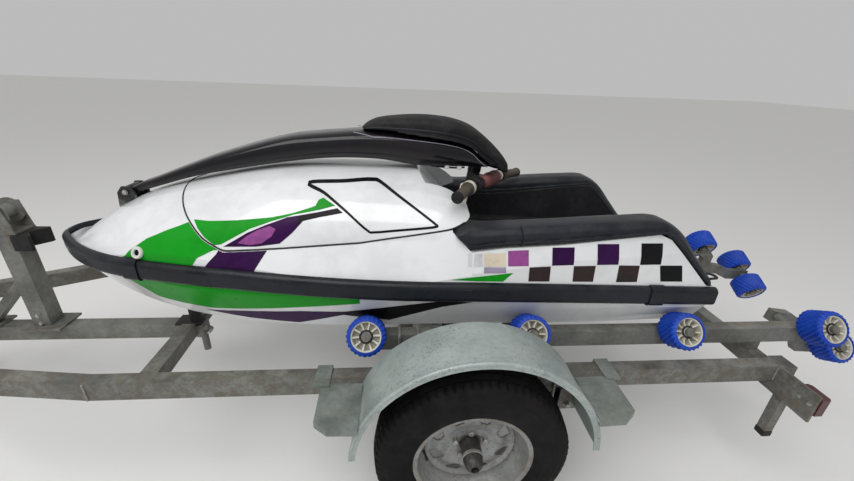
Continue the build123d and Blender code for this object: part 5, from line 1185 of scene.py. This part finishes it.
wheelPlace = Matrix.Translation((hubX, 0.0, hubZ)) @ Matrix.Rotation(math.radians(-90), 4, "X")
for side, node, label in ((1, "tyre_left", "Left"), (-1, "tyre_right", "Right")):
    capPlace = axisPlace((hubX, side * 0.5185, hubZ), (0, side, 0))
    verts, faces = [], []
    for k in range(around):
        a = 2 * math.pi * k / around
        phase = k % 4
        for y, r in section:
            if r > 0.2835 and phase == 0 and abs(y) > 0.031:
                r -= tyre["sipe"]
            if 0.2700 < r < 0.2845 and phase == 0 and abs(y) > 0.055:
                r -= tyre["sipe"] * 0.7
            if r > 0.2870 and phase == 2 and abs(y) < 0.030:
                r -= tyre["sipe"] * 0.6
            verts.append(Vector((hubX + r * math.cos(a), side * (tyre["middle"] + y),
                                 hubZ + r * math.sin(a))))
    count = len(section)
    for k in range(around):
        n = (k + 1) % around
        for j in range(count):
            m = (j + 1) % count
            faces.append((k * count + j, n * count + j, n * count + m, k * count + m))
    body = "wheel_left" if side > 0 else "wheel_right"
    piece = addPiece(node + "Tread", verts, faces, made["tyreRubber"], body)
    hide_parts(node)
    verts, faces = [], []
    disc = [(0.0300, 0.5180), (0.0450, 0.5182), (0.0620, 0.5182), (0.0700, 0.5196), (0.0780, 0.5222),
            (0.0860, 0.5248), (0.0930, 0.5256), (0.1000, 0.5244), (0.1080, 0.5210), (0.1160, 0.5174),
            (0.1240, 0.5158), (0.1310, 0.5190), (0.1365, 0.5240), (0.1385, 0.5260)]
    turns = 240
    for k in range(turns):
        a = 2 * math.pi * k / turns
        for r, y in disc:
            verts.append(Vector((hubX + r * math.cos(a), side * y, hubZ + r * math.sin(a))))
    for k in range(turns):
        n = (k + 1) % turns
        ventHere = (k % 30) in range(8, 22)
        for j in range(len(disc) - 1):
            narrow = (k % 30) in range(10, 20)
            if (ventHere and 7 <= j <= 9) or (narrow and j == 6):
                continue
            faces.append((k * len(disc) + j, n * len(disc) + j, n * len(disc) + j + 1, k * len(disc) + j + 1))
    pressed = addPiece(node.replace("tyre", "rim") + "Disc", verts, faces, made["rimPaint"], body)
    thicken = pressed.modifiers.new("thicken", "SOLIDIFY")
    thicken.thickness = 0.0040
    thicken.offset = 0.0
    settle(pressed)
    barrel = [(0.459, 0.177), (0.463, 0.177), (0.467, 0.168), (0.4853, 0.162), (0.4927, 0.154),
              (0.500, 0.146), (0.524, 0.146), (0.5379, 0.1513 + 0.001), (0.5597, 0.162), (0.578, 0.168),
              (0.582, 0.177), (0.586, 0.177), (0.5862, 0.1745), (0.5825, 0.1640), (0.5617, 0.157),
              (0.5379, 0.1465), (0.5260, 0.1395), (0.5000, 0.1395), (0.4924, 0.145), (0.4813, 0.157),
              (0.4635, 0.164), (0.459, 0.174)]
    lathePiece(node.replace("tyre", "rim") + "Barrel", [(r, side * y) for y, r in barrel],
               wheelPlace,
               made["rimPaint"], body, 96)
    sleeve = [(0.0176, 0.4645), (0.0335, 0.4645), (0.0362, 0.482), (0.0395, 0.511), (0.0395, 0.5165),
              (0.0300, 0.5165), (0.0176, 0.5165)]
    lathePiece(node.replace("tyre", "hub") + "Sleeve", [(r, side * y) for r, y in sleeve],
               wheelPlace,
               made["greaseCap"], body, 48)
    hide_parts(node.replace("tyre", "rim"))
    nutPlaces = []
    for k in range(5):
        a = 2 * math.pi * (k + 0.25) / 5
        nutPlaces.append(axisPlace((hubX + 0.048 * math.cos(a), side * 0.5181, hubZ + 0.048 * math.sin(a)),
                                   (0, side, 0)))
    boltPiece("lugNuts" + label, nutPlaces, 0.017, 0.015, made["boltZinc"], body)
    hubCap = [(0.0303, 0.0), (0.0306, 0.052), (0.0296, 0.0535), (0.0296, 0.0560), (0.0268, 0.0700),
              (0.0225, 0.0830), (0.0125, 0.0910), (0.0120, 0.0870), (0.0300, 0.0)]
    lathePiece("hubCap" + label, hubCap, capPlace,
               made["greaseCap"], body, 48)
    band = [(0.0300, 0.046), (0.0318, 0.047), (0.0318, 0.055), (0.0300, 0.056)]
    lathePiece("hubBand" + label, band, capPlace,
               made["boltZinc"], body, 48)
    valve = [(0.0001, 0.0), (0.0044, 0.0), (0.0040, 0.010), (0.0032, 0.012), (0.0032, 0.022), (0.0044, 0.023),
             (0.0044, 0.032), (0.0001, 0.033)]
    lathePiece("tyreValve" + label, valve,
               axisPlace((hubX + 0.142, side * 0.540, hubZ), (-0.25, side, 0)), made["blackRubber"], body, 20)
print("tyres made")


# clamps: square-bent bolts around a tube, with washers and nuts
def clampMesh(centre, across, up, halfWide, rise, drop, radius, verts, faces):
    centre, across, up = Vector(centre), Vector(across), Vector(up)
    c = 0.009
    outline = [(-halfWide, -drop), (-halfWide, rise - c), (-halfWide + c * 0.3, rise - c * 0.3),
               (-halfWide + c, rise), (halfWide - c, rise), (halfWide - c * 0.3, rise - c * 0.3),
               (halfWide, rise - c), (halfWide, -drop)]
    tubeMesh([centre + across * a + up * b for a, b in outline], radius, verts, faces, 10)
    for way in (-1, 1):
        boltMesh(axisPlace(centre + across * way * halfWide - up * (drop - 0.017), -up), 0.0145, 0.0105,
                 verts, faces)


clamps = {"wire": 0.0048}
verts, faces = [], []
for side in (1, -1):
    for x in (-0.330, -0.760):
        for dx in (-0.030, 0.030):
            clampMesh((x + dx, side * 0.410, 0.416), (0, 1, 0), (0, 0, 1), 0.0262, 0.0672, 0.068,
                      clamps["wire"], verts, faces)
            clampMesh((x + dx, side * 0.297, 0.486), (0, 1, 0), (0, 0, 1), 0.0262, 0.0632, 0.050,
                      clamps["wire"], verts, faces)
    for dx in (-0.0315, 0.0315):
        clampMesh((-0.514, side * (0.410 + dx), 0.316), (1, 0, 0), (0, 0, -1), 0.0302, 0.0552, 0.070,
                  clamps["wire"], verts, faces)
addPiece("tubeClamps", verts, faces, made["boltZinc"], smooth=False)
verts, faces = [], []
for side in (1, -1):
    for x in (-0.330, -0.760):
        blockMesh((x, side * 0.410, 0.3630), straight, (0.086, 0.070, 0.006), verts, faces)
    blockMesh((-0.514, side * 0.410, 0.3690), straight, (0.082, 0.086, 0.008), verts, faces)
soften(addPiece("clampPlates", verts, faces, made["zinc"]), 0.0015, 2)

# bolts on hangers, lamp plates, coupling and winch post
verts, faces = [], []
for side in (1, -1):
    for x in (-0.844, -0.184):
        boltMesh(axisPlace((x, side * 0.4402, 0.352), (0, side, 0)), 0.017, 0.011, verts, faces)
        boltMesh(axisPlace((x, side * 0.3798, 0.352), (0, -side, 0)), 0.017, 0.011, verts, faces)
    for y, z in ((0.520, 0.437), (0.550, 0.437)):
        boltMesh(axisPlace((-1.5498, side * y, z), (1, 0, 0)), 0.010, 0.006, verts, faces)
    for x in (1.815, 1.848):
        boltMesh(axisPlace((x, side * 0.0442, 0.410), (0, side, 0)), 0.015, 0.009, verts, faces)
    for z in (0.405, 0.440):
        boltMesh(axisPlace((1.040, side * 0.0302, z), (0, side, 0)), 0.014, 0.009, verts, faces)
addPiece("frameBolts", verts, faces, made["boltZinc"], smooth=False)

# weld beads at the frame joints
weld = {"radius": 0.0030, "ripple": 0.0009, "pitch": 0.0038}


def weldMesh(a, b, verts, faces):
    a, b = Vector(a), Vector(b)
    count = max(3, int((b - a).length / weld["pitch"]) * 2)
    along = (b - a).normalized()
    normal = along.orthogonal().normalized()
    other = along.cross(normal)
    base = len(verts)
    for i in range(count + 1):
        swell = weld["radius"] + weld["ripple"] * (1 if i % 2 else -0.4)
        swell *= 0.4 if i in (0, count) else 1.0
        p = a.lerp(b, i / count)
        for s in range(8):
            t = 2 * math.pi * s / 8
            verts.append(p + (normal * math.cos(t) + other * math.sin(t)) * swell)
    faces += [tuple(base + i for i in face) for face in ringFaces(count + 1, 8)]


verts, faces = [], []
for side in (1, -1):
    for x in (-0.330, -0.760):
        for dx in (-0.025, 0.025):
            weldMesh((x + dx, side * 0.276, 0.4865), (x + dx, side * 0.318, 0.4865), verts, faces)
    for y in (0.389, 0.431):
        weldMesh((-1.5502, side * y, 0.420), (-1.5502, side * y, 0.474), verts, faces)
    weldMesh((0.600, side * 0.4315, 0.416), (0.600, side * 0.4315, 0.478), verts, faces)
    for y in (0.447, 0.477):
        weldMesh((-1.6080, side * y, 0.3785), (-1.5780, side * y, 0.3785), verts, faces)
    weldMesh((1.010, side * 0.0262, 0.3842), (1.070, side * 0.0262, 0.3842), verts, faces)
addPiece("weldBeads", verts, faces, made["weldGrey"])

# fenders: rolled outer bead
bead = {"radius": 0.0062, "round": 0.3495, "centre": (-0.514, 0.328), "low": 0.357}
for side, label in ((1, "Left"), (-1, "Right")):
    start = math.asin((bead["low"] - bead["centre"][1]) / bead["round"])
    line = []
    for k in range(73):
        a = start + (math.pi - 2 * start) * k / 72
        line.append((bead["centre"][0] + bead["round"] * math.cos(a), side * 0.6075,
                     bead["centre"][1] + bead["round"] * math.sin(a)))
    tubePiece("fenderBead" + label, line, bead["radius"], made["fenderZinc"], sides=14)

# stub tube, clamp jaws and handle under the keel rest
stub = {"radius": 0.0130, "wall": 0.0025, "high": 0.3230, "low": 0.2480, "x": 0.4830}
stubBore, stubLong = stub["radius"] - stub["wall"], stub["high"] - stub["low"]
lathePiece("restStub", [(stubBore, 0.0), (stub["radius"], 0.0), (stub["radius"], stubLong),
                        (stubBore, stubLong)],
           Matrix.Translation((stub["x"], 0.0, stub["low"])), made["zinc"], segments=32)
blockPiece("restJaw", (0.4830, 0.0, 0.3500), straight, (0.0300, 0.0560, 0.0560), made["zinc"], bevel=0.004)
boltPiece("restBolts", [axisPlace((0.4675, 0.016, 0.362), (-1, 0, 0)),
                        axisPlace((0.4675, -0.016, 0.338), (-1, 0, 0))],
          0.015, 0.010, made["boltZinc"])
tubePiece("restHandle", curvePoints([(0.4700, 0.0, 0.350), (0.4480, 0.006, 0.356), (0.4380, 0.022, 0.360),
                                     (0.4380, 0.050, 0.362)], 4), 0.0055, made["boltZinc"], sides=12)

# rubber feet on the rear legs
for side, label in ((1, "Left"), (-1, "Right")):
    blockPiece("legFoot" + label, (-1.572, side * 0.462, 0.219), straight, (0.035, 0.035, 0.026),
               made["blackRubber"], bevel=0.005)
print("frame fittings made")

# studio: pale floor, even world light, one soft key from above
studio = {"floorColour": (0.86, 0.855, 0.84), "floorHalf": 30.0, "worldStrength": 0.50, "keyEnergy": 120.0}
floorMaterial = bpy.data.materials.new("floorPale")
floorMaterial.use_nodes = True
floorTree = floorMaterial.node_tree
floorShader = floorTree.nodes["Principled BSDF"]
floorShader.inputs["Base Color"].default_value = colour(studio["floorColour"])
floorShader.inputs["Roughness"].default_value = 0.9
half = studio["floorHalf"]
floorMesh = bpy.data.meshes.new("floor")
floorMesh.from_pydata([(-half, -half, -0.0005), (half, -half, -0.0005), (half, half, -0.0005),
                       (-half, half, -0.0005)], [], [(0, 1, 2, 3)])
floorMesh.materials.append(floorMaterial)
floor = bpy.data.objects.new("floor", floorMesh)
scene.collection.objects.link(floor)
world = bpy.data.worlds.new("studioWorld")
world.use_nodes = True
scene.world = world
sky = world.node_tree.nodes["Background"]
sky.inputs["Color"].default_value = (1.0, 1.0, 1.0, 1.0)
sky.inputs["Strength"].default_value = studio["worldStrength"]
keyData = bpy.data.lights.new("keyLight", "AREA")
keyData.energy = studio["keyEnergy"]
keyData.shape = "RECTANGLE"
keyData.size = 4.0
keyData.size_y = 3.0
key = bpy.data.objects.new("keyLight", keyData)
key.location = (0.8, 2.2, 4.2)
key.rotation_euler = (Vector((-0.2, 0.0, 0.5)) - key.location).to_track_quat("-Z", "Y").to_euler()
scene.collection.objects.link(key)
print("studio set")
